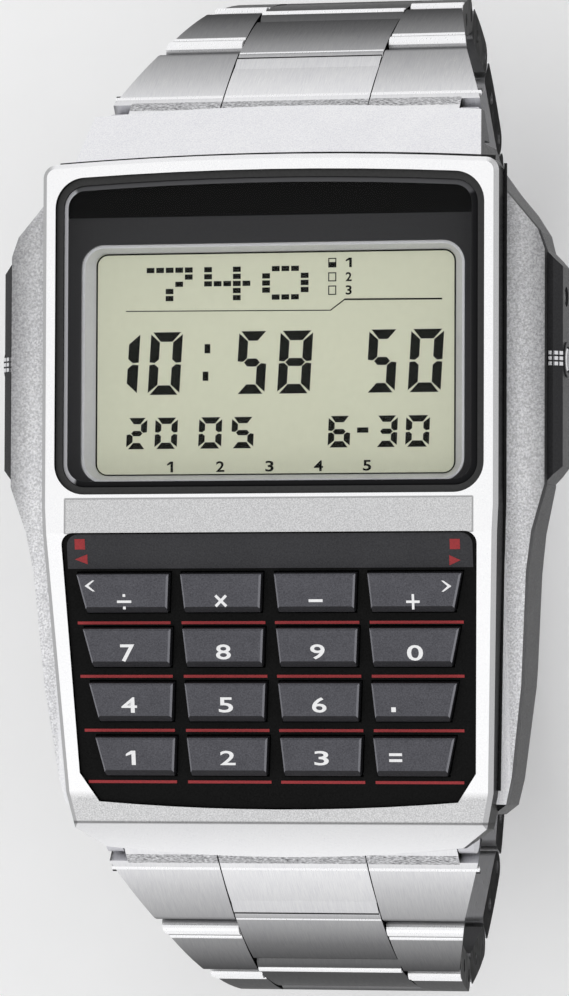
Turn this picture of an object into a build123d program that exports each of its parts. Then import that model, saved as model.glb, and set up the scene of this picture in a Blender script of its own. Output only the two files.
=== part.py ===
from build123d import *
import math
import os

os.makedirs("parts", exist_ok=True)

# A calculator watch with a folding steel bracelet. It lies face up: the origin is the middle of the
# case back's outer face, X runs to 3 o'clock, Y to 12 o'clock and Z out of the display.
# All lengths are in millimetres and all angles in degrees.

# Fits and cuts, shared by all pieces
overrun = 3.0  # how far a cutting shape runs past what it cuts
seat_gap = 0.03  # between two fixed pieces that seat on each other
press_gap = 0.02  # round a pin that is fixed in its hole
run_gap = 0.05  # round a pin or shaft that turns or slides in its hole
side_gap = 0.08  # between the flat sides of two pieces that move past each other

# The sizes that the case grows with
display_length = 20.65  # of the crystal's opening, before its bow
glass_half_width = 14.3  # of the same opening
bridge_width = 2.5  # between the crystal's opening and the keypad's plate
keypad_slope = 10.7
key_rows = 4
key_columns = 4
inner_columns = (1, 2)
row_pitch = 3.6
first_row_low = 5.25  # from the plate's upper edge to the lower edge of the first row
plate_margin = 2.25  # below the last row
plate_length = first_row_low + (key_rows - 1) * row_pitch + plate_margin
upper_end_length = 5.35  # from the crystal's opening to the end of the case at 12 o'clock
lower_end_length = 3.118  # from the keypad's plate to the end of the case at 6 o'clock
plate_run = plate_length * math.cos(math.radians(keypad_slope))
case_length = upper_end_length + display_length + bridge_width + plate_run + lower_end_length
case_half_length = case_length / 2
bezel_side_width = 0.9  # beside the crystal's opening
flank_width = 2.65  # beside the bezel
bezel_half_width = glass_half_width + bezel_side_width
flank_half_width = bezel_half_width + flank_width

# Heights of the case, from the outer face of the case back
back_thickness = 1.0
lip_height = 5.2  # underside of the hoods, over the ends of the bracelet
case_top = 8.2  # top of the middle case, under the flanks
cover_thickness = 1.1
bezel_top = 11.5
cover_top = case_top + cover_thickness
lip_thickness = 0.45
shoulder_drop = 1.3  # how much lower the middle case's ends are than its top, under the hood

# Plan of the flanks, as shares of their half width and of the case's half length
flank_shares = [
    (0.764, 0.832),
    (0.835, 0.762),
    (0.975, 0.641),
    (1.0, 0.589),
    (1.0, -0.024),
    (0.947, -0.145),
    (0.924, -0.25),
    (0.896, -0.548),
    (0.852, -0.79),
    (0.829, -0.859),
]
flank_low_share = flank_shares[-1][1]
slope_start_share = -0.024  # where the flanks begin to fall towards 6 o'clock
flank_low_y = flank_low_share * case_half_length
slope_start_y = slope_start_share * case_half_length
cover_fall = 3.0  # how much lower the flanks are at their lower end
flank_setback = 0.2  # how far the middle case's wall lies inside the flanks

# Hood at 12 o'clock
hood_length = 3.5
hood_lip_length = 0.7  # below the hood's end, over the bracelet
hood_end_y = case_half_length - hood_lip_length
hood_base_y = hood_end_y - hood_length
hood_end_bow = 0.55
hood_corner_width = 4.8  # by how much each corner of the hood draws in
hood_end_half_width = flank_half_width - hood_corner_width
hood_ledge = 0.4  # flat strip of the hood that the bezel's edge stands on

# Bezel
bezel_end_width = 0.95  # above the crystal's opening
bezel_high_y = case_half_length - upper_end_length + bezel_end_width
bezel_bow = 0.5
bezel_corner = 0.9
bezel_edge = 0.3
upward = 0.9  # least upward share of the normal of a face that is seen from above
bezel_waist = 0.9  # by how much each side of the bezel draws in below its knee
bezel_low_half_width = bezel_half_width - bezel_waist
bezel_knee_drop = 0.8  # from the crystal's opening to the knee
bezel_knee_radius = 6.0
tail_margin = 0.65  # from the tail's ends to the end of the case
tail_corner_length = 1.25
tail_corner_width = 1.8
tail_side_length = 2.3
tail_side_width = 0.5
ridge_width = 1.55  # from the ridge below the keypad to the tail's ends
tail_low_y = tail_margin - case_half_length
tail_high_y = tail_low_y + tail_corner_length
bezel_side_end_y = tail_high_y + tail_side_length
ridge_y = tail_low_y + ridge_width
tail_high_half_width = bezel_low_half_width - tail_side_width
tail_low_half_width = tail_high_half_width - tail_corner_width
tail_bow = 0.65

# Crystal and what lies under it
glass_high_y = case_half_length - upper_end_length
glass_low_y = glass_high_y - display_length
bezel_knee_y = glass_low_y - bezel_knee_drop
glass_bow = 0.45
glass_corner = 2.0
gasket_width = 0.5
gasket_drop = 0.2  # top of the gasket under the crystal's top
crystal_thickness = 1.5
crystal_drop = 0.1  # crystal's top under the bezel's top
crystal_bevel = 0.35
mask_thickness = 0.15
mask_side_width = 1.5  # of the dark border beside the trim
mask_low_width = 0.8
mask_high_width = 4.25
trim_half_width = glass_half_width - mask_side_width
trim_low_y = glass_low_y + mask_low_width
trim_high_y = glass_high_y - mask_high_width
trim_width = 0.75  # of the sloped sides, seen from above
trim_end_width = 0.5  # of the sloped upper and lower edges
trim_rim = 0.2  # flat part of the trim, under the mask's edge
trim_corner = 1.5
trim_thickness = 0.75
lcd_thickness = 1.15
backlight_thickness = 0.65

# Cavity of the middle case
cavity_side_margin = 1.4  # under the bezel, beside the crystal's opening
cavity_high_margin = 0.55  # past the crystal's opening
cavity_low_margin = 4.4  # from the end of the case at 6 o'clock
cavity_half_width = glass_half_width - cavity_side_margin
cavity_low_y = cavity_low_margin - case_half_length
cavity_high_y = glass_high_y + cavity_high_margin
cavity_corner = 1.5
module_gap = 0.3  # between the module and the cavity's wall

# Keypad: a plate that slopes down towards 6 o'clock from the bridge
keypad_high_y = glass_low_y - bridge_width
plate_side_margin = 0.45  # of the bezel, beside the plate
plate_narrowing = 0.6  # of each side, towards the lower end
plate_bevel_width = 1.25
plate_side_end = 2.4  # from the end of the sides to the plate's lower end
plate_bevel_end = 0.5
plate_half_width = bezel_low_half_width - plate_side_margin
plate_low_half_width = plate_half_width - plate_narrowing
plate_corner = 0.8
plate_side_length = plate_length - plate_side_end
plate_bevel_half_width = plate_low_half_width - plate_bevel_width
plate_bevel_length = plate_length - plate_bevel_end
plate_recess = 0.25
plate_thickness = 0.9
plate_ledge = 0.7  # width of the bezel's ledge that the plate lies on

# Keys, measured on the slope
row_gap = 1.05  # between the keys of two rows
key_length = row_pitch - row_gap
key_centre = 3.13  # of the inner columns
inner_key_width = 5.4
key_taper = 0.2  # by how much each side edge draws in towards the lower edge
outer_key_start = 6.62
key_side_margin = 1.05  # between the first row and the plate's side
outer_key_ends = plate_half_width - key_side_margin
outer_end_step = 0.27  # by how much each row below is shorter
outer_key_taper = 0.6
key_stand = 0.7  # height of a key over the plate
key_gap = 0.12
key_flange = 0.27
key_flange_thickness = 0.35
key_travel = 0.5
key_bevel = 0.35  # of the lower edge, down the key's side
key_bevel_length = 0.42  # of the lower edge, along the key's top
key_edge = 0.12
membrane_thickness = 0.35
dome_radius = 0.85
dome_stand = 0.7
dome_room = 0.15  # between a dome and the hollow of its key

# Side buttons and guards
guard_stand = 0.9  # past the flanks
guard_half_width = flank_half_width + guard_stand
guard_bevel = 1.1
guard_bottom = 4.6
guard_edge = 0.55
button_height = 6.4
button_pitch = 4.1  # between the two buttons of a side
flush_drop = 8.9  # from the hood to the flush buttons
guard_high_margin = 3.0  # past the flush buttons
guard_low_margin = 8.1  # past the pushers
flush_y = hood_base_y - flush_drop
pusher_y = flush_y - button_pitch
guard_high_y = flush_y + guard_high_margin
guard_low_y = pusher_y - guard_low_margin
pusher_radius = 0.8
pusher_stand = 0.15  # out of the guards
pusher_reach = guard_half_width + pusher_stand
pusher_travel = 0.4
flush_radius = 0.55
flush_depth = 0.12
flush_travel = 0.3
head_length = 1.5
head_bevel = 0.15
shaft_radius = 0.4
seal_thickness = 0.4
seal_room = 0.1  # left between a pressed head and its seal

# Case back
back_side_margin = 2.85  # under the flanks
back_end_margin = 3.9  # under the hoods
back_half_width = flank_half_width - back_side_margin
back_half_length = case_half_length - back_end_margin
back_bevel = 2.6
back_edge = 0.3
back_gasket_width = 0.3
back_gasket_thickness = 0.35
screw_side_margin = 1.0  # from the case back's edges to its screws
screw_end_margin = 3.7
screw_half_spacing_x = back_half_width - screw_side_margin
screw_half_spacing_y = back_half_length - screw_end_margin
screw_head_radius = 0.8
screw_head_thickness = 0.45
screw_head_drop = 0.1
screw_radius = 0.4
screw_length = 2.8
wall_bottom = 4.4  # lower edge of the middle case's upright sides
back_margin = 0.9  # from the case back's edge to the middle case's lower edge

# Module
board_thickness = 0.6
board_height = 4.2  # underside of the circuit board
connector_thickness = 0.6
connector_margin = 0.3
battery_radius = 10.0
battery_thickness = 2.5
battery_margin = 2.0  # to the cavity's end
battery_y = cavity_high_y - battery_margin - battery_radius
clip_thickness = 0.2
clip_width = 5.0
buzzer_radius = 6.5
buzzer_thickness = 0.3
ceramic_radius = 4.9
buzzer_margin = 1.4  # to the cavity's end
buzzer_y = cavity_low_y + buzzer_margin + buzzer_radius
chip_size = 5.0
chip_width = 4.5
chip_thickness = 0.9
can_radius = 0.75
can_length = 6.0

# Bracelet
bar_inset = 1.45  # from the ends of the case to the spring bars
bar_y = case_half_length - bar_inset
bar_height = 3.98
bar_radius = 0.5
lug_thickness = 1.1
lug_inset = 6.55  # from the flanks to the lugs' inner faces
lug_inner_half_width = flank_half_width - lug_inset
lug_radius = 1.15
lug_end_wall = 0.4  # left outside the ends of the spring bars
link_radius = 1.1  # half the links' thickness, and the radius of their knuckles
first_link_length = 7.2
link_pitch = 7.5
knuckle_gap = 0.15
centre_half_width = 5.0
pin_radius = 0.45
shoulder_start = 1.35  # where the first link widens past its knuckles
shoulder_stand = 0.05  # past the lugs
shoulder_half_width = lug_inner_half_width + lug_thickness + shoulder_stand
band_half_width = 7.5  # of the links near the clasp
link_widenings = [2.85, 1.2, 0.4, 0, 0, 0]  # of the links' lower ends, from the case to the clasp
link_end_half_widths = [band_half_width + more for more in link_widenings]
link_edge = 0.45
link_crown = 0.15  # how far the middle of a link's outer face stands over its ends
pin_recess = 0.4  # of the pins' ends in the links' sides
link_slopes = [50, 62, 78, 106, 134, 160]  # below the horizontal, from the case to the clasp

# Folding clasp, on arcs about one axis: the cover outside, then the outer leaf, then the inner leaf
clasp_sag = 1.6
clasp_side_step = 0.2  # how far the clasp's sides lie inside the last links'
clasp_half_width = band_half_width - clasp_side_step
clasp_plate = 0.75
clasp_wall = 0.7
clasp_end_gap = 0.35
leaf_thickness = 0.55
leaf_gap = 0.1
leaf_side_room = 0.3  # between the leaves and the cover's side walls
leaf_half_width = clasp_half_width - clasp_wall - leaf_side_room
leaf_slot_half_width = 3.1
tab_side_room = 0.2
leaf_tab_half_width = leaf_slot_half_width - tab_side_room
clasp_pin_radius = 0.3
stub_recess = 0.16  # of the cover's stub pins in its side walls
clasp_knuckle = 0.55
outer_pivot_inset = 2.6  # from the upper end of the clasp to the pivot of the outer leaf
inner_pivot_inset = 5.8  # from the lower end of the clasp to the pivot of the inner leaf
notch_reach = 2.75  # of the cover's notch, from the outer leaf's pivot towards the clasp's middle
leaf_root = 0.4  # how far a leaf's full width stays clear of the knuckles beside it
catch_gap = 0.12  # between the inner leaf's tip and the pin of the last link
catch_clearance = 0.145  # all round that pin


def save(piece, name):
    """Labels a finished piece and writes its file."""
    piece.part.label = name
    export_step(piece.part, f"parts/{name}.step")


def mirrored(points):
    """The points of a right-hand outline, followed by the same points on the left."""
    return points + [(-x, y) for x, y in reversed(points)]


def flank_points(setback):
    """The flanks' plan without its two ends, as far inside the flanks' edge as setback."""
    width = flank_half_width - setback
    return [(x * width, y * case_half_length) for x, y in flank_shares]


def polygon(points):
    """A flat face with the given corners, on the XY plane."""
    with BuildSketch() as face:
        with BuildLine():
            Polyline(*points, close=True)
        make_face()
    return face.sketch


def bowed_window(half_width, low, high, bow, radius):
    """A rounded rectangle whose upper edge is bowed."""
    with BuildSketch() as face:
        with BuildLine():
            Polyline((-half_width, high), (-half_width, low), (half_width, low), (half_width, high))
            ThreePointArc((half_width, high), (0, high + bow), (-half_width, high))
        make_face()
        fillet(face.vertices(), radius)
    return face.sketch


def glass_window(inset):
    """The crystal's opening in the bezel, drawn in by inset."""
    return bowed_window(
        glass_half_width - inset, glass_low_y + inset, glass_high_y - inset, glass_bow, glass_corner - inset
    )


def rounded_box(half_width, low, high, radius):
    """A rounded rectangle between two heights on the page."""
    with BuildSketch() as face:
        with Locations((0, (low + high) / 2)):
            RectangleRounded(2 * half_width, high - low, radius)
    return face.sketch


def pad_window(inset):
    """The keypad plate's outline on the slope, drawn in by inset."""
    with BuildSketch() as face:
        with BuildLine():
            Polyline(
                (plate_bevel_half_width - inset, -plate_bevel_length + inset),
                (plate_low_half_width - inset, -plate_side_length),
                (plate_half_width - inset, -inset),
                (-plate_half_width + inset, -inset),
                (-plate_low_half_width + inset, -plate_side_length),
                (-plate_bevel_half_width + inset, -plate_bevel_length + inset),
            )
            ThreePointArc(
                (-plate_bevel_half_width + inset, -plate_bevel_length + inset),
                (0, -plate_length + inset),
                (plate_bevel_half_width - inset, -plate_bevel_length + inset),
            )
        make_face()
        fillet(face.vertices().group_by(Axis.Y)[-1], plate_corner)
    return face.sketch


# The keypad's own plane: its origin is the middle of the plate's upper edge at the bezel's surface
slope = math.radians(keypad_slope)
keypad = Plane(
    origin=(0, keypad_high_y, bezel_top), x_dir=(1, 0, 0), z_dir=(0, -math.sin(slope), math.cos(slope))
)


def slope_height(y, depth):
    """Height at y of a surface that lies depth under the keypad's own plane."""
    return bezel_top + (y - keypad_high_y) * math.tan(slope) - depth / math.cos(slope)


# Depths of the keypad's layers, square to the slope
plate_depth = plate_recess + plate_thickness
flange_depth = plate_depth + run_gap
membrane_depth = flange_depth + key_flange_thickness + key_travel + run_gap
keypad_depth = membrane_depth + membrane_thickness

# Heights of the display's layers
crystal_top = bezel_top - crystal_drop
crystal_bottom = crystal_top - crystal_thickness
mask_bottom = crystal_bottom - mask_thickness
trim_bottom = mask_bottom - seat_gap - trim_thickness
lcd_bottom = trim_bottom - seat_gap - lcd_thickness
backlight_bottom = lcd_bottom - seat_gap - backlight_thickness
board_top = board_height + board_thickness

body_end_y = bar_y - link_radius - 2 * knuckle_gap  # end walls of the middle case, clear of the links
cover_low_y = flank_low_y
cover_low_top = cover_top - cover_fall
case_low_top = cover_low_top - cover_thickness
pusher_x = pusher_reach - head_length
wall_x = flank_half_width - flank_setback
bar_end_x = lug_inner_half_width + lug_thickness - lug_end_wall - seat_gap


def case_body_piece():
    """The middle case: walls round the module, and the lugs for the spring bars."""
    end_half_width = hood_end_half_width
    lower_end = (tail_high_half_width, -body_end_y)
    plan = mirrored([(end_half_width, body_end_y), *flank_points(flank_setback), lower_end])
    side = [
        (-body_end_y, back_thickness),
        (body_end_y, back_thickness),
        (body_end_y, lip_height),
        (body_end_y, case_top - shoulder_drop),
        (hood_base_y - hood_ledge, case_top),
        (slope_start_y, case_top),
        (cover_low_y, case_low_top),
        (-body_end_y, case_low_top),
    ]
    low_half_width = back_half_width + back_margin
    front = mirrored(
        [(low_half_width, back_thickness), (flank_half_width, wall_bottom), (flank_half_width, bezel_top)]
    )
    with BuildPart() as piece:
        with BuildSketch(Plane.XY.offset(back_thickness)):
            add(polygon(plan))
        extrude(amount=bezel_top)
        with BuildSketch(Plane.YZ):
            add(polygon(side))
        extrude(amount=flank_half_width, both=True, mode=Mode.INTERSECT)
        with BuildSketch(Plane.XZ):
            add(polygon(front))
        extrude(amount=case_half_length, both=True, mode=Mode.INTERSECT)
        for end in (1, -1):
            for hand in (1, -1):
                with BuildSketch(Plane.YZ.offset(hand * lug_inner_half_width)):
                    with Locations((end * bar_y, bar_height)):
                        Circle(lug_radius)
                    with Locations((end * (bar_y - lug_radius), bar_height)):
                        Rectangle(2 * lug_radius, 2 * lug_radius)
                extrude(amount=hand * lug_thickness)
        with BuildSketch(Plane.XY):
            add(rounded_box(cavity_half_width, cavity_low_y, cavity_high_y, cavity_corner))
        extrude(amount=bezel_top, mode=Mode.SUBTRACT)
        for end in (1, -1):
            with BuildSketch(Plane.YZ):
                with Locations((end * bar_y, bar_height)):
                    Circle(bar_radius + press_gap)
            extrude(amount=bar_end_x + seat_gap, both=True, mode=Mode.SUBTRACT)
        with BuildSketch(Plane.XY.offset(back_thickness)):
            add(back_gasket_ring())
        extrude(amount=back_gasket_thickness, mode=Mode.SUBTRACT)
        with BuildSketch(Plane.XY.offset(back_thickness)):
            with GridLocations(2 * screw_half_spacing_x, 2 * screw_half_spacing_y, 2, 2):
                Circle(screw_radius + press_gap)
        extrude(amount=screw_length, mode=Mode.SUBTRACT)
        for hand in (1, -1):
            for y, radius, travel in button_table():
                inner_face = head_inner_x(radius) - travel - seal_room
                with BuildSketch(Plane.YZ):
                    with Locations((y, button_height)):
                        Circle(shaft_radius + run_gap)
                extrude(amount=hand * flank_half_width, mode=Mode.SUBTRACT)
                with BuildSketch(Plane.YZ.offset(hand * (inner_face - seal_thickness))):
                    with Locations((y, button_height)):
                        Circle(radius + 2 * run_gap)
                extrude(amount=hand * overrun, mode=Mode.SUBTRACT)
    return piece


def back_gasket_ring():
    """Plan of the case back's gasket, round the cavity."""
    margin = back_gasket_width / 2
    with BuildSketch() as face:
        add(
            rounded_box(
                cavity_half_width + margin + back_gasket_width,
                cavity_low_y - margin - back_gasket_width,
                cavity_high_y + margin + back_gasket_width,
                cavity_corner + margin + back_gasket_width,
            )
        )
        add(
            rounded_box(
                cavity_half_width + margin,
                cavity_low_y - margin,
                cavity_high_y + margin,
                cavity_corner + margin,
            ),
            mode=Mode.SUBTRACT,
        )
    return face.sketch


def button_table():
    """Place, head radius and travel of the two buttons on each side."""
    return [(pusher_y, pusher_radius, pusher_travel), (flush_y, flush_radius, flush_travel)]


def head_outer_x(radius):
    """Outer end of a button's head: the pushers stand out of the guard and the others lie in it."""
    return pusher_reach if radius == pusher_radius else guard_half_width - flush_depth


def head_inner_x(radius):
    """Inner face of a button's head."""
    return head_outer_x(radius) - head_length


def top_cover_piece():
    """The silver cover: both flanks and the hood over the bracelet's upper end."""
    side = [
        (cover_low_y, case_low_top + seat_gap),
        (slope_start_y, case_top + seat_gap),
        (hood_base_y - hood_ledge, case_top + seat_gap),
        (body_end_y + seat_gap, case_top - shoulder_drop + seat_gap),
        (body_end_y + seat_gap, lip_height),
        (case_half_length, lip_height),
        (case_half_length, lip_height + lip_thickness),
        (hood_base_y, cover_top),
        (slope_start_y, cover_top),
        (cover_low_y, cover_low_top),
    ]
    with BuildPart() as piece:
        with BuildSketch(Plane.XY.offset(lip_height)):
            with BuildLine():
                Polyline(
                    (hood_end_half_width, hood_end_y),
                    *flank_points(0),
                    *[(-x, y) for x, y in reversed(flank_points(0))],
                    (-hood_end_half_width, hood_end_y),
                )
                ThreePointArc(
                    (-hood_end_half_width, hood_end_y),
                    (0, hood_end_y + hood_end_bow),
                    (hood_end_half_width, hood_end_y),
                )
            make_face()
        extrude(amount=bezel_top)
        with BuildSketch(Plane.YZ):
            add(polygon(side))
        extrude(amount=flank_half_width, both=True, mode=Mode.INTERSECT)
        with BuildSketch(Plane.XY):
            add(
                rounded_box(
                    cavity_half_width + module_gap, cavity_low_y - module_gap, cavity_high_y, cavity_corner
                )
            )
        extrude(amount=bezel_top, mode=Mode.SUBTRACT)
    return piece


def bezel_piece():
    """The polished frame: display opening, bridge, keypad opening and the lower hood."""
    tail_low = (tail_low_half_width, tail_low_y)
    side = [
        (cover_low_y - seat_gap, lip_height),
        (cover_low_y - seat_gap, cover_low_top + seat_gap),
        (slope_start_y, cover_top + seat_gap),
        (case_half_length, cover_top + seat_gap),
        (case_half_length, bezel_top),
        (keypad_high_y, bezel_top),
        (ridge_y, slope_height(ridge_y, 0)),
        (-case_half_length, lip_height + lip_thickness),
        (-case_half_length, lip_height),
    ]
    with BuildPart() as piece:
        with BuildSketch(Plane.XY.offset(lip_height)) as plan:
            with BuildLine():
                Polyline(
                    (bezel_half_width, bezel_high_y),
                    (bezel_half_width, bezel_knee_y),
                    (bezel_low_half_width, bezel_side_end_y),
                    (tail_high_half_width, tail_high_y),
                    tail_low,
                )
                ThreePointArc(tail_low, (0, tail_low_y - tail_bow), (-tail_low_half_width, tail_low_y))
                Polyline(
                    (-tail_low_half_width, tail_low_y),
                    (-tail_high_half_width, tail_high_y),
                    (-bezel_low_half_width, bezel_side_end_y),
                    (-bezel_half_width, bezel_knee_y),
                    (-bezel_half_width, bezel_high_y),
                )
                ThreePointArc(
                    (-bezel_half_width, bezel_high_y),
                    (0, bezel_high_y + bezel_bow),
                    (bezel_half_width, bezel_high_y),
                )
            make_face()
            fillet(plan.vertices().group_by(Axis.Y)[-1], bezel_corner)
        extrude(amount=bezel_top)
        with BuildSketch(Plane.YZ):
            add(polygon(side))
        extrude(amount=flank_half_width, both=True, mode=Mode.INTERSECT)
        top_faces = [face for face in piece.faces() if face.normal_at().Z > upward]
        top_edges = [edge for face in top_faces for edge in face.edges()]
        chamfer([edge for edge in top_edges if abs(edge.center().X) > tail_low_half_width], bezel_edge)
        with BuildSketch(Plane.XY.offset(mask_bottom)):
            add(glass_window(0))
        extrude(amount=overrun, mode=Mode.SUBTRACT)
        with BuildSketch(Plane.XY):
            add(
                rounded_box(
                    trim_half_width + module_gap,
                    trim_low_y - module_gap,
                    trim_high_y + module_gap,
                    trim_corner,
                )
            )
        extrude(amount=bezel_top, mode=Mode.SUBTRACT)
        with BuildSketch(keypad.offset(-plate_depth)):
            add(pad_window(0))
        extrude(amount=overrun, mode=Mode.SUBTRACT)
        with BuildSketch(keypad.offset(-plate_depth)):
            add(pad_window(plate_ledge))
        extrude(amount=-overrun, mode=Mode.SUBTRACT)
    return piece


def glass_pieces():
    """The crystal, its gasket and the printed mask under it."""
    with BuildPart() as crystal:
        with BuildSketch(Plane.XY.offset(crystal_bottom)):
            add(glass_window(gasket_width))
        extrude(amount=crystal_thickness)
        chamfer(crystal.edges().group_by(Axis.Z)[-1], crystal_bevel)
    with BuildPart() as gasket:
        with BuildSketch(Plane.XY.offset(mask_bottom)):
            add(glass_window(press_gap))
            add(glass_window(gasket_width - press_gap), mode=Mode.SUBTRACT)
        extrude(amount=crystal_top - gasket_drop - mask_bottom)
    with BuildPart() as mask:
        with BuildSketch(Plane.XY.offset(mask_bottom)):
            add(glass_window(gasket_width))
            add(rounded_box(trim_half_width, trim_low_y, trim_high_y, trim_corner), mode=Mode.SUBTRACT)
        extrude(amount=mask_thickness)
    save(crystal, "crystal")
    save(gasket, "crystal_gasket")
    save(mask, "display_mask")


def display_pieces():
    """The silver trim, the liquid crystal panel, the backlight and the two strips that join it."""
    low = trim_low_y - module_gap
    high = trim_high_y + module_gap
    half_width = cavity_half_width - module_gap
    strip_inset = connector_margin + connector_thickness / 2
    light_low = low + connector_thickness + 2 * connector_margin
    light_high = high - connector_thickness - 2 * connector_margin
    with BuildPart() as trim:
        with BuildSketch(Plane.XY.offset(trim_bottom)):
            add(rounded_box(trim_half_width, trim_low_y, trim_high_y, trim_corner))
        extrude(amount=trim_thickness)
        with BuildSketch(Plane.XY.offset(trim_bottom)):
            add(
                rounded_box(
                    trim_half_width - trim_width,
                    trim_low_y + trim_end_width,
                    trim_high_y - trim_end_width,
                    trim_corner - trim_width,
                )
            )
        with BuildSketch(Plane.XY.offset(trim_bottom + trim_thickness)):
            add(
                rounded_box(
                    trim_half_width - trim_rim,
                    trim_low_y + trim_rim,
                    trim_high_y - trim_rim,
                    trim_corner - trim_rim,
                )
            )
        loft(mode=Mode.SUBTRACT)
    with BuildPart() as lcd:
        with BuildSketch(Plane.XY.offset(lcd_bottom)):
            with Locations((0, (low + high) / 2)):
                Rectangle(2 * half_width, high - low)
        extrude(amount=lcd_thickness)
    with BuildPart() as backlight:
        with BuildSketch(Plane.XY.offset(backlight_bottom)):
            with Locations((0, (light_low + light_high) / 2)):
                Rectangle(2 * half_width, light_high - light_low)
        extrude(amount=backlight_thickness)
    with BuildPart() as connectors:
        with BuildSketch(Plane.XY.offset(board_top + seat_gap)):
            for y in (low + strip_inset, high - strip_inset):
                with Locations((0, y)):
                    Rectangle(2 * (half_width - 2 * connector_margin), connector_thickness)
        extrude(amount=lcd_bottom - board_top - 2 * seat_gap)
    save(trim, "display_trim")
    save(lcd, "lcd_panel")
    save(backlight, "backlight_panel")
    save(connectors, "lcd_connectors")
    return low, high


def module_pieces(display_low, display_high):
    """The module's frame, board, chips, battery, clip and buzzer."""
    half_width = cavity_half_width - module_gap
    low = cavity_low_y + module_gap
    high = cavity_high_y - module_gap
    pad_start = keypad_high_y - (plate_ledge + module_gap) * math.cos(slope)
    frame_top = backlight_bottom - seat_gap
    strip_inset = connector_margin + connector_thickness / 2
    side = [
        (low, board_top + seat_gap),
        (high, board_top + seat_gap),
        (high, frame_top),
        (pad_start, frame_top),
        (pad_start, slope_height(pad_start, keypad_depth)),
        (low, slope_height(low, keypad_depth)),
    ]
    with BuildPart() as module_frame:
        with BuildSketch(Plane.YZ):
            add(polygon(side))
        extrude(amount=half_width, both=True)
        with BuildSketch(Plane.XY):
            add(rounded_box(half_width, low, high, cavity_corner))
        extrude(amount=bezel_top, mode=Mode.INTERSECT)
        with BuildSketch(Plane.XY):
            for y in (display_low + strip_inset, display_high - strip_inset):
                with Locations((0, y)):
                    Rectangle(2 * (half_width - connector_margin), connector_thickness + connector_margin)
        extrude(amount=frame_top + overrun, mode=Mode.SUBTRACT)
    with BuildPart() as board:
        with BuildSketch(Plane.XY.offset(board_height)):
            with Locations((0, (low + high) / 2)):
                RectangleRounded(2 * half_width, high - low, cavity_corner)
        extrude(amount=board_thickness)
    with BuildPart() as components:
        with BuildSketch(Plane.XY.offset(board_height - seat_gap)):
            with Locations((-chip_size, buzzer_y), (chip_size, buzzer_y)):
                RectangleRounded(chip_size, chip_width, can_radius / 2)
        extrude(amount=-chip_thickness)
        with BuildSketch(Plane.YZ.offset(-can_length / 2)):
            with Locations((buzzer_y - chip_size - can_radius, board_height - seat_gap - can_radius)):
                Circle(can_radius)
        extrude(amount=can_length)
    battery_bottom = back_thickness + clip_thickness + 3 * seat_gap
    with BuildPart() as battery:
        with BuildSketch(Plane.XY.offset(battery_bottom)):
            with Locations((0, battery_y)):
                Circle(battery_radius)
        extrude(amount=battery_thickness)
        fillet(battery.edges().group_by(Axis.Z)[0], clip_thickness)
    clip_x = battery_radius + seat_gap
    with BuildPart() as clip:
        with BuildSketch(Plane.XZ.offset(-battery_y)):
            with BuildLine():
                Polyline(
                    (-clip_x - clip_thickness, board_height - seat_gap),
                    (-clip_x - clip_thickness, back_thickness + seat_gap),
                    (clip_x + clip_thickness, back_thickness + seat_gap),
                    (clip_x + clip_thickness, board_height - seat_gap),
                    (clip_x, board_height - seat_gap),
                    (clip_x, back_thickness + seat_gap + clip_thickness),
                    (-clip_x, back_thickness + seat_gap + clip_thickness),
                    (-clip_x, board_height - seat_gap),
                    close=True,
                )
            make_face()
        extrude(amount=clip_width / 2, both=True)
    with BuildPart() as buzzer:
        with BuildSketch(Plane.XY.offset(back_thickness + seat_gap)):
            with Locations((0, buzzer_y)):
                Circle(buzzer_radius)
        extrude(amount=buzzer_thickness)
        with BuildSketch(Plane.XY.offset(back_thickness + seat_gap + buzzer_thickness)):
            with Locations((0, buzzer_y)):
                Circle(ceramic_radius)
        extrude(amount=buzzer_thickness)
    save(module_frame, "module_frame")
    save(board, "circuit_board")
    save(components, "board_components")
    save(battery, "battery")
    save(clip, "battery_clip")
    save(buzzer, "buzzer_disc")


def back_pieces():
    """The case back, its gasket and its four screws."""
    with BuildPart() as back:
        with BuildSketch(Plane.XY) as plan:
            Rectangle(2 * back_half_width, 2 * back_half_length)
            chamfer(plan.vertices(), back_bevel)
        extrude(amount=back_thickness)
        chamfer(back.edges().group_by(Axis.Z)[0], back_edge)
        with BuildSketch(Plane.XY):
            with GridLocations(2 * screw_half_spacing_x, 2 * screw_half_spacing_y, 2, 2):
                Circle(screw_head_radius + run_gap)
        extrude(amount=screw_head_drop + screw_head_thickness + seat_gap, mode=Mode.SUBTRACT)
        with BuildSketch(Plane.XY):
            with GridLocations(2 * screw_half_spacing_x, 2 * screw_half_spacing_y, 2, 2):
                Circle(screw_radius + run_gap)
        extrude(amount=back_thickness, mode=Mode.SUBTRACT)
    with BuildPart() as gasket:
        with BuildSketch(Plane.XY.offset(back_thickness)):
            add(back_gasket_ring())
        extrude(amount=back_gasket_thickness)
    with BuildPart() as screws:
        with BuildSketch(Plane.XY.offset(screw_head_drop)):
            with GridLocations(2 * screw_half_spacing_x, 2 * screw_half_spacing_y, 2, 2):
                Circle(screw_head_radius)
        extrude(amount=screw_head_thickness)
        with BuildSketch(Plane.XY.offset(screw_head_drop)):
            with GridLocations(2 * screw_half_spacing_x, 2 * screw_half_spacing_y, 2, 2):
                Circle(screw_radius)
        extrude(amount=screw_length)
    save(back, "case_back")
    save(gasket, "case_back_gasket")
    save(screws, "case_back_screws")


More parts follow.
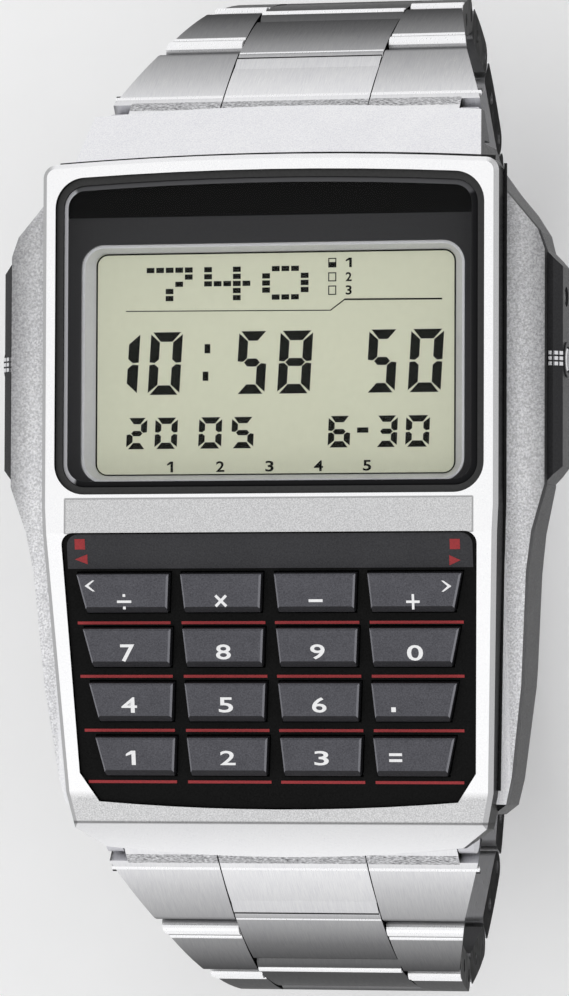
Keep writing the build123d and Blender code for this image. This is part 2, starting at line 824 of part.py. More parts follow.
def guard_piece(hand):
    """A black bar along one side, with a hole for each of its two buttons."""
    inner_x = wall_x + seat_gap
    plan = [
        (hand * inner_x, guard_low_y),
        (hand * guard_half_width, guard_low_y + guard_bevel),
        (hand * guard_half_width, guard_high_y - guard_bevel),
        (hand * inner_x, guard_high_y),
    ]
    with BuildPart() as piece:
        with BuildSketch(Plane.XY.offset(guard_bottom)):
            add(polygon(plan))
        extrude(amount=case_top - guard_bottom)
        rims = piece.faces().filter_by(Axis.X).sort_by(Axis.X)
        outer = rims[-1] if hand > 0 else rims[0]
        chamfer(outer.edges().filter_by(Axis.Y), guard_edge)
        for y, radius, _ in button_table():
            with BuildSketch(Plane.YZ):
                with Locations((y, button_height)):
                    Circle(radius + 2 * run_gap)
            extrude(amount=hand * (guard_half_width + overrun), mode=Mode.SUBTRACT)
    return piece


def button_piece(hand, y, radius):
    """A button: a head in the guard and a shaft through the middle case's wall."""
    with BuildPart() as piece:
        with BuildSketch(Plane.YZ.offset(hand * head_inner_x(radius))):
            with Locations((y, button_height)):
                Circle(radius)
        extrude(amount=hand * head_length)
        chamfer(piece.edges().group_by(Axis.X)[-1 if hand > 0 else 0], head_bevel)
        with BuildSketch(Plane.YZ.offset(hand * head_inner_x(radius))):
            with Locations((y, button_height)):
                Circle(shaft_radius)
        extrude(amount=-hand * (head_inner_x(radius) - cavity_half_width - module_gap / 2))
    return piece


def seals_piece():
    """The four rings under the buttons' heads."""
    with BuildPart() as piece:
        for hand in (1, -1):
            for y, radius, travel in button_table():
                inner_face = head_inner_x(radius) - travel - seal_room
                with BuildSketch(Plane.YZ.offset(hand * (inner_face - seal_thickness))):
                    with Locations((y, button_height)):
                        Circle(radius + 2 * run_gap - press_gap)
                        Circle(shaft_radius + run_gap, mode=Mode.SUBTRACT)
                extrude(amount=hand * seal_thickness)
    return piece


def key_outline(row, column, margin):
    """A key's outline on the slope. Rows count from the top, columns from the left."""
    low = -first_row_low - row * row_pitch
    high = low + key_length
    outer_end = outer_key_ends - row * outer_end_step
    if column in inner_columns:
        start = key_centre - inner_key_width / 2
        end = key_centre + inner_key_width / 2
        taper = key_taper
    else:
        start = outer_key_start
        end = outer_end
        taper = outer_key_taper
    hand = 1 if column > 1 else -1
    corners = [
        (hand * (start - margin), high + margin),
        (hand * (end + margin), high + margin),
        (hand * (end - taper + margin), low - margin),
        (hand * (start + key_taper - margin), low - margin),
    ]
    return polygon(corners)


def key_middle(row, column):
    """Middle of a key on the slope."""
    outer_middle = (outer_key_start + outer_key_ends - row * outer_end_step) / 2
    x = key_centre if column in inner_columns else outer_middle
    hand = 1 if column > 1 else -1
    return hand * x, -first_row_low - row * row_pitch + key_length / 2


def keypad_plate_piece():
    """The black plate with an opening for each key."""
    with BuildPart() as piece:
        with BuildSketch(keypad.offset(-plate_depth)):
            add(pad_window(seat_gap))
            for row in range(key_rows):
                for column in range(key_columns):
                    add(key_outline(row, column, key_gap), mode=Mode.SUBTRACT)
        extrude(amount=plate_thickness)
    return piece


def key_piece(row, column):
    """A key: a bevelled cap, a flange that keeps it under the plate, and a hollow for its dome."""
    with BuildPart() as piece:
        with BuildSketch(keypad.offset(-flange_depth)):
            add(key_outline(row, column, 0))
        extrude(amount=flange_depth - plate_recess + key_stand)
        top = piece.faces().sort_by(Axis((0, 0, 0), keypad.z_dir))[-1]
        rim = top.edges().sort_by(Axis.Y)
        chamfer(rim[0], key_bevel, key_bevel_length)
        top = piece.faces().sort_by(Axis((0, 0, 0), keypad.z_dir))[-1]
        rim = top.edges().sort_by(Axis.Y)
        chamfer(rim[1:], key_edge)
        with BuildSketch(keypad.offset(-flange_depth)):
            add(key_outline(row, column, key_flange))
        extrude(amount=-key_flange_thickness)
        with BuildSketch(keypad.offset(-flange_depth - key_flange_thickness)):
            with Locations(key_middle(row, column)):
                Circle(dome_radius + dome_room)
        extrude(amount=dome_stand + dome_room - run_gap, mode=Mode.SUBTRACT)
    return piece


def membrane_piece():
    """The silicone sheet under the keys, with a dome for each."""
    low = (cavity_low_y + module_gap - keypad_high_y) / math.cos(slope)
    high = -(plate_ledge + module_gap)
    with BuildPart() as piece:
        with BuildSketch(keypad.offset(-keypad_depth + seat_gap)):
            with Locations((0, (low + high) / 2)):
                Rectangle(2 * (plate_bevel_half_width - module_gap), high - low)
        extrude(amount=membrane_thickness - seat_gap)
        with BuildSketch(keypad.offset(-membrane_depth)):
            for row in range(key_rows):
                for column in range(key_columns):
                    with Locations(key_middle(row, column)):
                        Circle(dome_radius)
        extrude(amount=dome_stand)
    return piece


def link_starts():
    """Hinge points of one half of the bracelet, from the spring bar to the clasp."""
    points = [(bar_y, bar_height)]
    lengths = [first_link_length] + [link_pitch] * (len(link_slopes) - 1)
    for length, angle in zip(lengths, link_slopes):
        y, z = points[-1]
        turn = math.radians(angle)
        points.append((y + length * math.cos(turn), z - length * math.sin(turn)))
    return points


def link_half_widths(number):
    """Half widths of a link at its two ends."""
    start = shoulder_half_width if number == 0 else link_end_half_widths[number - 1]
    return start, link_end_half_widths[number]


def link_side(start, end):
    """Side view of a link's straight part between two places along it, with a crowned outer face."""
    with BuildSketch() as face:
        with BuildLine():
            crown = ((start + end) / 2, link_radius + link_crown)
            ThreePointArc((start, link_radius), crown, (end, link_radius))
            Polyline(
                (end, link_radius),
                (end, -link_radius),
                (start, -link_radius),
                (start, link_radius),
            )
        make_face()
    return face.sketch


def link_piece(number):
    """A link of the upper half: a centre piece, two outer pieces, a fixed pin and a hinge pin."""
    points = link_starts()
    y, z = points[number]
    turn = math.radians(link_slopes[number])
    length = first_link_length if number == 0 else link_pitch
    along = (0, math.cos(turn), -math.sin(turn))
    outward = (0, math.sin(turn), math.cos(turn))
    wide, narrow = link_half_widths(number)
    first = number == 0
    outer_start = 0 if first else link_radius + knuckle_gap
    centre_end = length - link_radius - knuckle_gap
    start_hole = (bar_radius if first else pin_radius) + run_gap
    outer_inner_x = centre_half_width + side_gap / 2
    centre_x = centre_half_width - side_gap / 2
    middle = length / 2
    side = Plane(origin=(0, y, z), x_dir=along, z_dir=(1, 0, 0))
    top = Plane(origin=(0, y, z), x_dir=(1, 0, 0), z_dir=outward)
    if first:
        knuckle_x = lug_inner_half_width - side_gap
        plan = mirrored(
            [
                (knuckle_x, -link_radius),
                (knuckle_x, shoulder_start),
                (wide, shoulder_start),
                (narrow, length + link_radius),
            ]
        )
    else:
        plan = mirrored(
            [
                (centre_x, -link_radius),
                (centre_x, outer_start),
                (wide, outer_start),
                (narrow, length + link_radius),
            ]
        )
    with BuildPart() as piece:
        with BuildSketch(side):
            Circle(link_radius)
            add(link_side(0, centre_end))
        extrude(amount=centre_x, both=True)
        rim = piece.edges().filter_by(Axis.X).sort_by(Axis((0, y, z), along))[-2:]
        fillet(rim, link_edge)
        for hand in (1, -1):
            with BuildSketch(side.offset(hand * outer_inner_x)):
                with Locations((length, 0)):
                    Circle(link_radius)
                add(link_side(outer_start, length))
                if first:
                    Circle(link_radius)
            extrude(amount=hand * (wide - outer_inner_x))
        if not first:
            rims = piece.edges().filter_by(Axis.X).group_by(Axis((0, y, z), along))
            fronts = [edge for group in rims for edge in group if abs(edge.center().X) > centre_half_width]
            fillet(ShapeList(fronts).group_by(Axis((0, y, z), along))[0], link_edge)
        with BuildSketch(top):
            add(polygon(plan))
        extrude(amount=link_radius + overrun, both=True, mode=Mode.INTERSECT)
        with BuildSketch(side):
            Circle(start_hole)
        extrude(amount=wide, both=True, mode=Mode.SUBTRACT)
        with BuildSketch(side):
            with Locations((middle, 0), (length, 0)):
                Circle(pin_radius + press_gap)
        extrude(amount=wide, both=True, mode=Mode.SUBTRACT)
        with BuildSketch(side):
            with Locations((middle, 0)):
                Circle(pin_radius)
            with Locations((length, 0)):
                Circle(pin_radius)
        extrude(amount=narrow - pin_recess, both=True)
    return piece


# The clasp's arcs pass through the ends of the last links
clasp_y, clasp_z = link_starts()[-1]
clasp_radius = (clasp_y**2 + clasp_sag**2) / (2 * clasp_sag)
clasp_middle_z = clasp_z - clasp_sag + clasp_radius
cover_outside = link_radius
cover_inside = cover_outside - clasp_plate
outer_leaf_outside = cover_inside - leaf_gap
outer_leaf_inside = outer_leaf_outside - leaf_thickness
inner_leaf_outside = outer_leaf_inside - leaf_gap
inner_leaf_inside = inner_leaf_outside - leaf_thickness
pivot_level = outer_leaf_inside - clasp_pin_radius / 2
outer_pivot_y = clasp_y - outer_pivot_inset
inner_pivot_y = -clasp_y + inner_pivot_inset


def clasp_point(level, y):
    """A point at y on the arc that lies level outside the clasp's middle arc."""
    return y, clasp_middle_z - math.sqrt((clasp_radius + level) ** 2 - y**2)


def clasp_band(inside, outside, start_y, end_y):
    """The face between two of the clasp's arcs, on the YZ plane."""
    places = (start_y, (start_y + end_y) / 2, end_y)
    inner = [clasp_point(inside, y) for y in places]
    outer = [clasp_point(outside, y) for y in places]
    with BuildSketch() as face:
        with BuildLine():
            ThreePointArc(*inner)
            Line(inner[-1], outer[-1])
            ThreePointArc(*reversed(outer))
            Line(outer[0], inner[0])
        make_face()
    return face.sketch


def clasp_cover_piece():
    """The cover: a plate with side walls, a knuckle on the last lower link and two stub pins.

    A notch in its upper end lets the inner leaf's tip swing through.
    """
    start_y = -clasp_y + link_radius + knuckle_gap
    end_y = clasp_y - link_radius - clasp_end_gap
    wall_x = clasp_half_width - clasp_wall
    stub_outer_x = clasp_half_width - stub_recess
    pivot = clasp_point(pivot_level, outer_pivot_y)
    with BuildPart() as piece:
        with BuildSketch(Plane.YZ):
            add(clasp_band(cover_inside, cover_outside, start_y, end_y))
        extrude(amount=clasp_half_width, both=True)
        for hand in (1, -1):
            with BuildSketch(Plane.YZ.offset(hand * wall_x)):
                add(clasp_band(inner_leaf_inside, cover_outside, start_y, end_y))
            extrude(amount=hand * clasp_wall)
        with BuildSketch(Plane.YZ):
            add(clasp_band(cover_inside, cover_outside, -clasp_y, start_y + clasp_plate))
            with Locations((-clasp_y, clasp_z)):
                Circle(link_radius)
        extrude(amount=centre_half_width - side_gap / 2, both=True)
        with BuildSketch(Plane.YZ):
            with Locations((-clasp_y, clasp_z)):
                Circle(pin_radius + run_gap)
        extrude(amount=clasp_half_width, both=True, mode=Mode.SUBTRACT)
        with BuildSketch(Plane.XY.offset(clasp_z - overrun)):
            with Locations((0, outer_pivot_y - notch_reach + overrun)):
                Rectangle(2 * leaf_slot_half_width, 2 * overrun)
        extrude(amount=2 * overrun, mode=Mode.SUBTRACT)
        with BuildSketch(Plane.YZ):
            with Locations(pivot):
                Circle(clasp_pin_radius + press_gap)
        extrude(amount=clasp_half_width, both=True, mode=Mode.SUBTRACT)
        for hand in (1, -1):
            with BuildSketch(Plane.YZ.offset(hand * stub_outer_x)):
                with Locations(pivot):
                    Circle(clasp_pin_radius)
            extrude(amount=hand * (leaf_slot_half_width + side_gap - stub_outer_x))
    return piece


def outer_leaf_piece():
    """The outer leaf: knuckles at both ends, a slot in each end and the pin of the inner leaf."""
    outer_pivot = clasp_point(pivot_level, outer_pivot_y)
    inner_pivot = clasp_point(pivot_level, inner_pivot_y)
    root = clasp_knuckle + leaf_root
    with BuildPart() as piece:
        with BuildSketch(Plane.YZ):
            add(clasp_band(outer_leaf_inside, outer_leaf_outside, inner_pivot_y, outer_pivot_y))
            with Locations(outer_pivot, inner_pivot):
                Circle(clasp_knuckle)
        extrude(amount=leaf_half_width, both=True)
        with BuildSketch(Plane.XY.offset(clasp_z - overrun)):
            with Locations((0, outer_pivot_y), (0, inner_pivot_y)):
                Rectangle(2 * leaf_slot_half_width, 2 * root)
        extrude(amount=2 * overrun, mode=Mode.SUBTRACT)
        with BuildSketch(Plane.YZ):
            with Locations(outer_pivot):
                Circle(clasp_pin_radius + run_gap)
            with Locations(inner_pivot):
                Circle(clasp_pin_radius + press_gap)
        extrude(amount=leaf_half_width, both=True, mode=Mode.SUBTRACT)
        with BuildSketch(Plane.YZ):
            with Locations(inner_pivot):
                Circle(clasp_pin_radius)
        extrude(amount=leaf_half_width - side_gap, both=True)
    return piece


def inner_leaf_piece():
    """The inner leaf: a knuckle at one end, and a narrow tip that meets the last upper link's pin."""
    pivot = clasp_point(pivot_level, inner_pivot_y)
    tip_y = clasp_y - pin_radius - catch_gap
    root = clasp_knuckle + leaf_root
    with BuildPart() as piece:
        with BuildSketch(Plane.YZ):
            ends = (inner_pivot_y + root, outer_pivot_y - root)
            add(clasp_band(inner_leaf_inside, inner_leaf_outside, *ends))
        extrude(amount=leaf_half_width, both=True)
        with BuildSketch(Plane.YZ):
            with Locations((clasp_y, clasp_z)):
                Circle(link_radius)
            with Locations((tip_y + overrun, clasp_z)):
                Rectangle(2 * overrun, 2 * overrun, mode=Mode.SUBTRACT)
            add(clasp_band(inner_leaf_inside, inner_leaf_outside, inner_pivot_y, tip_y))
            with Locations(pivot):
                Circle(clasp_knuckle)
            with Locations((clasp_y, clasp_z)):
                Circle(pin_radius + catch_clearance, mode=Mode.SUBTRACT)
        extrude(amount=leaf_tab_half_width, both=True)
        with BuildSketch(Plane.YZ):
            with Locations((outer_pivot_y + overrun, clasp_z)):
                Rectangle(2 * overrun, 2 * overrun)
            with Locations(clasp_point(pivot_level, outer_pivot_y)):
                Circle(tip_y - outer_pivot_y, mode=Mode.SUBTRACT)
        extrude(amount=leaf_half_width, both=True, mode=Mode.SUBTRACT)
        with BuildSketch(Plane.YZ):
            with Locations(pivot):
                Circle(clasp_pin_radius + run_gap)
        extrude(amount=leaf_half_width, both=True, mode=Mode.SUBTRACT)
    return piece


def spring_bars_piece():
    """The two spring bars that hold the bracelet's ends in the lugs."""
    with BuildPart() as piece:
        for end in (1, -1):
            with BuildSketch(Plane.YZ):
                with Locations((end * bar_y, bar_height)):
                    Circle(bar_radius)
            extrude(amount=bar_end_x, both=True)
    return piece


save(case_body_piece(), "case_body")
save(top_cover_piece(), "top_cover")
save(bezel_piece(), "bezel")
glass_pieces()
display_ends = display_pieces()
module_pieces(*display_ends)
back_pieces()
save(guard_piece(1), "side_guard_right")
save(guard_piece(-1), "side_guard_left")
save(button_piece(-1, flush_y, flush_radius), "adjust_button")
save(button_piece(-1, pusher_y, pusher_radius), "mode_button")
save(button_piece(1, flush_y, flush_radius), "light_button")
save(button_piece(1, pusher_y, pusher_radius), "format_button")
save(seals_piece(), "button_seals")
save(keypad_plate_piece(), "keypad_plate")
save(membrane_piece(), "keypad_membrane")
key_names = [
    ["key_divide", "key_multiply", "key_minus", "key_plus"],
    ["key_7", "key_8", "key_9", "key_0"],
    ["key_4", "key_5", "key_6", "key_point"],
    ["key_1", "key_2", "key_3", "key_equals"],
]
for row_number, row_names in enumerate(key_names):
    for column_number, key_name in enumerate(row_names):
        save(key_piece(row_number, column_number), key_name)
save(spring_bars_piece(), "spring_bars")
save(clasp_cover_piece(), "clasp_cover")
save(outer_leaf_piece(), "clasp_outer_leaf")
save(inner_leaf_piece(), "clasp_inner_leaf")
for link_number in range(len(link_slopes)):
    upper_link = link_piece(link_number)
    save(upper_link, f"upper_link_{link_number + 1}")
    with BuildPart() as lower_link:
        mirror(upper_link.part, about=Plane.XZ)
    save(lower_link, f"lower_link_{link_number + 1}")
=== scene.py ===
# %% [markdown]
# # A calculator watch on a folding steel bracelet
# This lesson dresses a watch that already exists as a CAD model. The CAD parts stay where they are and
# get real finishes, and the small things that CAD leaves out, such as the printed numbers, the dark
# characters of the display and the knurls of the pushers, are added as pieces of their own.

import math

import bmesh
import bpy
from mathutils import Matrix, Vector


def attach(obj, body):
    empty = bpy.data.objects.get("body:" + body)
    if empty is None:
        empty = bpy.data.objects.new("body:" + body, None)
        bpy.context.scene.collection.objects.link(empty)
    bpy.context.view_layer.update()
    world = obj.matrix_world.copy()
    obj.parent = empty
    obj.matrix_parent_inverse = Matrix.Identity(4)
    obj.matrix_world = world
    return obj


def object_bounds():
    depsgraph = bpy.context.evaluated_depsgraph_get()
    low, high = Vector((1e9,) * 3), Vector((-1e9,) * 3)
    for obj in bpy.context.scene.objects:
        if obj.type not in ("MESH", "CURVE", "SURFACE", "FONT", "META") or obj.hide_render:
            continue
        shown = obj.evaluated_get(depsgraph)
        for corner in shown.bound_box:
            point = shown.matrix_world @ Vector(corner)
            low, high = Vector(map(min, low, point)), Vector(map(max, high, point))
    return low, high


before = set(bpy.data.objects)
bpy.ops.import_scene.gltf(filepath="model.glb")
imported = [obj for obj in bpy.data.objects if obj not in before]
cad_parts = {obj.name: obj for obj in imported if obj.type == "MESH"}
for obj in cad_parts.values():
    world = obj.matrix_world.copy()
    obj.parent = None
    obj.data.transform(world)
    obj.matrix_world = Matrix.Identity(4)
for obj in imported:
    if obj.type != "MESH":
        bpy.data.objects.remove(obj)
cad_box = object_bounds()
MM = 0.001  # one millimetre, in Blender's metres

# %% [markdown]
# ## The camera
# The watch was photographed from almost straight above, a little from the right and from 6 o'clock.
# The place of the camera was solved from the case's corners, so it is written as a place and the three
# directions that the picture's axes point in. A long lens keeps the case's sides nearly parallel.

# %% Camera
camera_place = Vector((91.2728, -20.1454, 400.7715)) * MM
picture_right = Vector((0.97427, 0.00375, -0.22536))
picture_up = Vector((0.00685, 0.99891, 0.04623))
picture_back = Vector((0.22528, -0.04658, 0.97318))
photo_height = 996
focal_pixels = 6176
sensor = 36
camera_data = bpy.data.cameras.new("camera")
camera_data.sensor_fit = "VERTICAL"
camera_data.sensor_height = sensor
camera_data.lens = focal_pixels * sensor / photo_height
camera_data.clip_start = 0.01
camera = bpy.data.objects.new("camera", camera_data)
camera_turn = Matrix((picture_right, picture_up, picture_back)).transposed().to_4x4()
camera.matrix_world = Matrix.Translation(camera_place) @ camera_turn
bpy.context.scene.collection.objects.link(camera)
bpy.context.scene.camera = camera
print("lens", round(camera_data.lens, 1), "mm")

# %% [markdown]
# ## Helpers for finishes
# Every finish here is worked out from the place on the piece (Object coordinates), so it stays put when
# a key is pressed or a link turns. A fine noise makes the grain or the brushing, a slow one makes the
# uneven patches that a real surface has, and both are given their size in millimetres.


# %% Node helpers
def add_node(material, kind, **values):
    """A node of the given kind. A value is set on the socket of that name."""
    made = material.node_tree.nodes.new("ShaderNode" + kind)
    for name, value in values.items():
        made.inputs[name].default_value = value
    return made


def join(material, source, target):
    """Links an output to an input."""
    material.node_tree.links.new(source, target)


def calculate(material, operation, *values):
    """The output of one Math node. Each value is an output or a plain number."""
    made = add_node(material, "Math")
    made.operation = operation
    for socket, value in zip(made.inputs, values):
        if isinstance(value, float):
            socket.default_value = value
        else:
            join(material, value, socket)
    return made.outputs["Value"]


def product_of(material, value, *others):
    """Multiplies values with each other."""
    for other in others:
        value = calculate(material, "MULTIPLY", value, other)
    return value


def size_of(material, source):
    """A value without its sign."""
    return calculate(material, "ABSOLUTE", source)


def spread(material, source, start, end, low=0.0, high=1.0):
    """Maps start..end of a value to low..high, and no further."""
    mapped = add_node(material, "MapRange")
    for name, value in (("From Min", start), ("From Max", end), ("To Min", low), ("To Max", high)):
        mapped.inputs[name].default_value = value
    join(material, source, mapped.inputs["Value"])
    return mapped.outputs["Result"]


def mix_colours(material, factor, low, high):
    """Goes from one colour to another. Either colour may be an output or three numbers."""
    made = add_node(material, "Mix")
    made.data_type = "RGBA"
    join(material, factor, made.inputs["Factor"])
    for colour, socket in ((low, made.inputs[6]), (high, made.inputs[7])):
        if isinstance(colour, tuple):
            socket.default_value = (*colour, 1)
        else:
            join(material, colour, socket)
    return made.outputs[2]


# %% [markdown]
# A pattern needs to know where it is. These helpers read the place on the piece and the direction that a
# face points in, both in the piece's own axes, and make grains and soft-edged zones of them.


# %% Places and patterns
def read_axis(material, kind, axis):
    """One axis of a texture coordinate."""
    split = add_node(material, "SeparateXYZ")
    join(material, add_node(material, "TexCoord").outputs[kind], split.inputs["Vector"])
    return split.outputs[axis]


def coordinate(material, axis):
    """One coordinate of the place on the piece, in metres."""
    return read_axis(material, "Object", axis)


def facing(material, axis):
    """How far a face points along an axis of the piece, from -1 to 1."""
    return read_axis(material, "Normal", axis)


def noise(material, grain, detail=3.0):
    """A noise whose grains measure about the given millimetres, all round or along X, Y and Z."""
    sizes = grain if isinstance(grain, tuple) else (grain, grain, grain)
    scaled = add_node(material, "Mapping", Scale=[1 / (size * MM) for size in sizes])
    join(material, add_node(material, "TexCoord").outputs["Object"], scaled.inputs["Vector"])
    pattern = add_node(material, "TexNoise", Scale=1.0, Detail=detail, Roughness=0.6)
    join(material, scaled.outputs["Vector"], pattern.inputs["Vector"])
    return pattern.outputs["Fac"]


def between(material, source, rise, fall):
    """One between two soft edges, each given by where it starts and ends in millimetres."""
    risen = spread(material, source, rise[0] * MM, rise[1] * MM)
    fallen = spread(material, source, fall[0] * MM, fall[1] * MM, 1.0, 0.0)
    return product_of(material, risen, fallen)


# %% [markdown]
# One function makes every finish: a colour between a light and a dark tone, a roughness that follows the
# same pattern, and a faint relief. Another gives the finish to pieces of the CAD model.


# %% Finishes
def shader_of(material):
    """The shader of a finish."""
    return material.node_tree.nodes["Principled BSDF"]


def surface(name, light, dark, roughness, grain, depth, patches=4.0, metallic=0.0, uneven=0.2, **plain):
    """A finish with a fine grain and slow patches. Lengths are in millimetres."""
    material = bpy.data.materials.new(name)
    material.use_nodes = True
    shader = shader_of(material)
    shader.inputs["Metallic"].default_value = metallic
    for socket, value in plain.items():
        shader.inputs[socket.replace("_", " ")].default_value = value
    fine = spread(material, noise(material, grain), 0.3, 0.7)
    slow = spread(material, noise(material, patches, 2.0), 0.3, 0.7)
    both = calculate(material, "ADD", fine, product_of(material, slow, uneven))
    both = spread(material, both, 0.0, 1.0 + uneven)
    join(material, mix_colours(material, both, dark, light), shader.inputs["Base Color"])
    rough = spread(material, both, 0.0, 1.0, roughness[1], roughness[0])
    join(material, rough, shader.inputs["Roughness"])
    relief = add_node(material, "Bump", Distance=depth * MM)
    join(material, fine, relief.inputs["Height"])
    join(material, relief.outputs["Normal"], shader.inputs["Normal"])
    return material


def dress(material, *nodes):
    """Gives CAD nodes a finish, in every material slot that they have."""
    for name in nodes:
        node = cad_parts[name]
        if not node.material_slots:
            node.data.materials.append(material)
        for slot in node.material_slots:
            slot.material = material
    print(material.name, "on", len(nodes), "nodes")


# %% [markdown]
# Steel looks darker on the faces that turn down and away from the lamps. The helpers below paint that
# shade into the colour: a second colour follows the direction that a face points in on the piece itself,
# so rolled edges stay bright and the sides of the links go dark, as painted shade.


# %% Changes of colour
def colour_of(material):
    """The output that a finish takes its colour from."""
    return shader_of(material).inputs["Base Color"].links[0].from_socket


def recolour(material, colour):
    """Gives a finish another output as its colour."""
    join(material, colour, shader_of(material).inputs["Base Color"])


def repaint(material, zone, colour):
    """Changes a finish's colour where a zone is one."""
    recolour(material, mix_colours(material, zone, colour_of(material), colour))


def dim(material, factor):
    """Multiplies a finish's colour by a value."""
    grey = add_node(material, "CombineColor")
    for channel in ("Red", "Green", "Blue"):
        join(material, factor, grey.inputs[channel])
    product = add_node(material, "Mix", Factor=1.0)
    product.data_type = "RGBA"
    product.blend_type = "MULTIPLY"
    join(material, colour_of(material), product.inputs[6])
    join(material, grey.outputs["Color"], product.inputs[7])
    recolour(material, product.outputs[2])


def dim_zone(material, zone, factor):
    """Multiplies a finish's colour by a value where a zone is one."""
    chosen = add_node(material, "Mix")
    join(material, zone, chosen.inputs["Factor"])
    chosen.inputs[2].default_value = 1.0
    join(material, factor, chosen.inputs[3])
    dim(material, chosen.outputs[0])


def shade_sides(material, start, end, low):
    """Paints shade: darkens faces whose upward share is below end, down to low times the colour at start."""
    dim(material, spread(material, facing(material, "Z"), start, end, low, 1.0))


def shade_ends(material, start, end, low):
    """Paints shade: darkens faces whose share to the left or right is above start, down to low at end."""
    aside = size_of(material, facing(material, "X"))
    dim(material, spread(material, aside, start, end, 1.0, low))


# %% [markdown]
# ## The metal finishes
# The bezel is polished with a very fine haze, its bridge and its lower hood are blasted, the flanks are
# satin with a coarse grain, and the links are brushed along the bracelet. All are one chrome silver.

# %% Satin silver
satin = surface(
    "satin_silver", (1.0, 1.0, 1.0), (0.8, 0.8, 0.84), (0.4, 0.55), 0.09, 0.012, metallic=1.0,
    Specular_Tint=(0.4, 0.4, 0.4, 1)
)
# Painted shade: faces that turn down are darkened, and the flanks are painted darker towards their outer
# rims and towards 12 o'clock and lighter towards 6 o'clock. The speckle is the satin's own grain.
shade_sides(satin, 0.2, 0.7, 0.22)
from_middle = size_of(satin, coordinate(satin, "X"))
along_flank = coordinate(satin, "Y")
on_flank = spread(satin, from_middle, 15.1 * MM, 15.25 * MM)
before_hood = spread(satin, along_flank, 18.5 * MM, 20.4 * MM, 1.0, 0.0)
outward_painted_shade = spread(satin, from_middle, 16.3 * MM, 17.9 * MM, 0.82, 0.42)
speckle = spread(satin, noise(satin, 0.13, 5.0), 0.38, 0.62, 0.7, 1.12)
upward_painted_shade = spread(satin, along_flank, -2 * MM, 16 * MM, 1.1, 0.78)
flank_grain_and_painted_shade = product_of(satin, outward_painted_shade, speckle, upward_painted_shade)
dim_zone(satin, product_of(satin, on_flank, before_hood), flank_grain_and_painted_shade)
dress(satin, "top_cover")

# %% Silver of the display's frame
trim_silver = surface(
    "trim_silver", (0.74, 0.74, 0.75), (0.6, 0.6, 0.63), (0.45, 0.6), 0.06, 0.003, metallic=0.6
)
dress(trim_silver, "display_trim")

# %% Polished silver of the bezel, with its blasted zones
bezel_silver = surface(
    "polished_silver", (0.98, 0.98, 0.98), (0.88, 0.88, 0.9), (0.2, 0.3), 0.08, 0.004, metallic=1.0,
    Specular_Tint=(0.4, 0.4, 0.4, 1)
)
# Painted shade on the bezel's faces that turn down.
shade_sides(bezel_silver, 0.2, 0.62, 0.17)
along_case = coordinate(bezel_silver, "Y")
off_middle = size_of(bezel_silver, coordinate(bezel_silver, "X"))
bridge = product_of(
    bezel_silver,
    between(bezel_silver, along_case, (-3.8, -3.7), (-1.55, -1.4)),
    spread(bezel_silver, off_middle, 13.5 * MM, 13.65 * MM, 1.0, 0.0),
)
lower_ring = product_of(
    bezel_silver,
    spread(bezel_silver, along_case, -21.0 * MM, -20.5 * MM, 1.0, 0.0),
    spread(bezel_silver, facing(bezel_silver, "Z"), 0.93, 0.96),
)
blasted = spread(bezel_silver, calculate(bezel_silver, "ADD", bridge, lower_ring), 0.0, 1.0)
blasted_shade = spread(bezel_silver, noise(bezel_silver, 0.09), 0.35, 0.65, 0.52, 0.76)
dim_zone(bezel_silver, blasted, blasted_shade)

# %% [markdown]
# A fine dark line shows where the blasted bridge meets the polished frame, and another along the ridge
# where the lower hood turns down. The slope above that ridge is painted a touch darker than the frame,
# most at the ridge, and the faces that point left or right are painted darker: both are painted shade.

# %% Facets and fine lines of the bezel
ridge_y = -22.6  # in millimetres
# Painted shade on the faces that point left or right, and on the slope before the ridge.
shade_ends(bezel_silver, 0.1, 0.45, 0.55)
for start, end, factor in ((ridge_y - 2, ridge_y, 0.82), (ridge_y, ridge_y + 0.2, 1.22)):
    dim(bezel_silver, spread(bezel_silver, along_case, start * MM, end * MM, 1.0, factor))
beyond_bridge = calculate(bezel_silver, "SUBTRACT", 1.0, bridge)
bridge_edge = product_of(bezel_silver, bridge, beyond_bridge)
dim(bezel_silver, spread(bezel_silver, bridge_edge, 0.0, 0.2, 1.0, 0.5))
ridge_line = between(
    bezel_silver, along_case, (ridge_y - 0.08, ridge_y), (ridge_y + 0.08, ridge_y + 0.16)
)
dim(bezel_silver, spread(bezel_silver, ridge_line, 0.0, 1.0, 1.0, 0.45))
dress(bezel_silver, "bezel")

# %% [markdown]
# The links are painted darker where the bracelet bends away, most of all at the far end of each piece,
# and on their sides: this is painted shade. The painted shade follows the height of a place on the watch,
# with one curve for the centre pieces and one for the outer pieces, whose joints lie a little further on.

# %% Brushed steel of the links
link_steel = surface(
    "brushed_steel", (1.0, 1.0, 1.0), (0.84, 0.84, 0.87), (0.26, 0.4), (0.05, 1.2, 1.2), 0.004,
    metallic=1.0, Specular_Tint=(0.3, 0.3, 0.3, 1)
)
shade_foot, shade_top = -34, 4  # heights between which the shade changes, in millimetres
height_share = spread(link_steel, coordinate(link_steel, "Z"), shade_foot * MM, shade_top * MM)


def shade_curve(*stops):
    """Greys of painted shade at rising heights in millimetres."""
    ramp = add_node(link_steel, "ValToRGB")
    join(link_steel, height_share, ramp.inputs["Fac"])
    elements = ramp.color_ramp.elements
    shares = [(height - shade_foot) / (shade_top - shade_foot) for height, grey in stops]
    for share in shares[1:-1]:
        elements.new(share)
    for element, share, (height, grey) in zip(elements, shares, stops):
        element.position = share
        element.color = (grey, grey, grey, 1)
    return ramp.outputs["Color"]


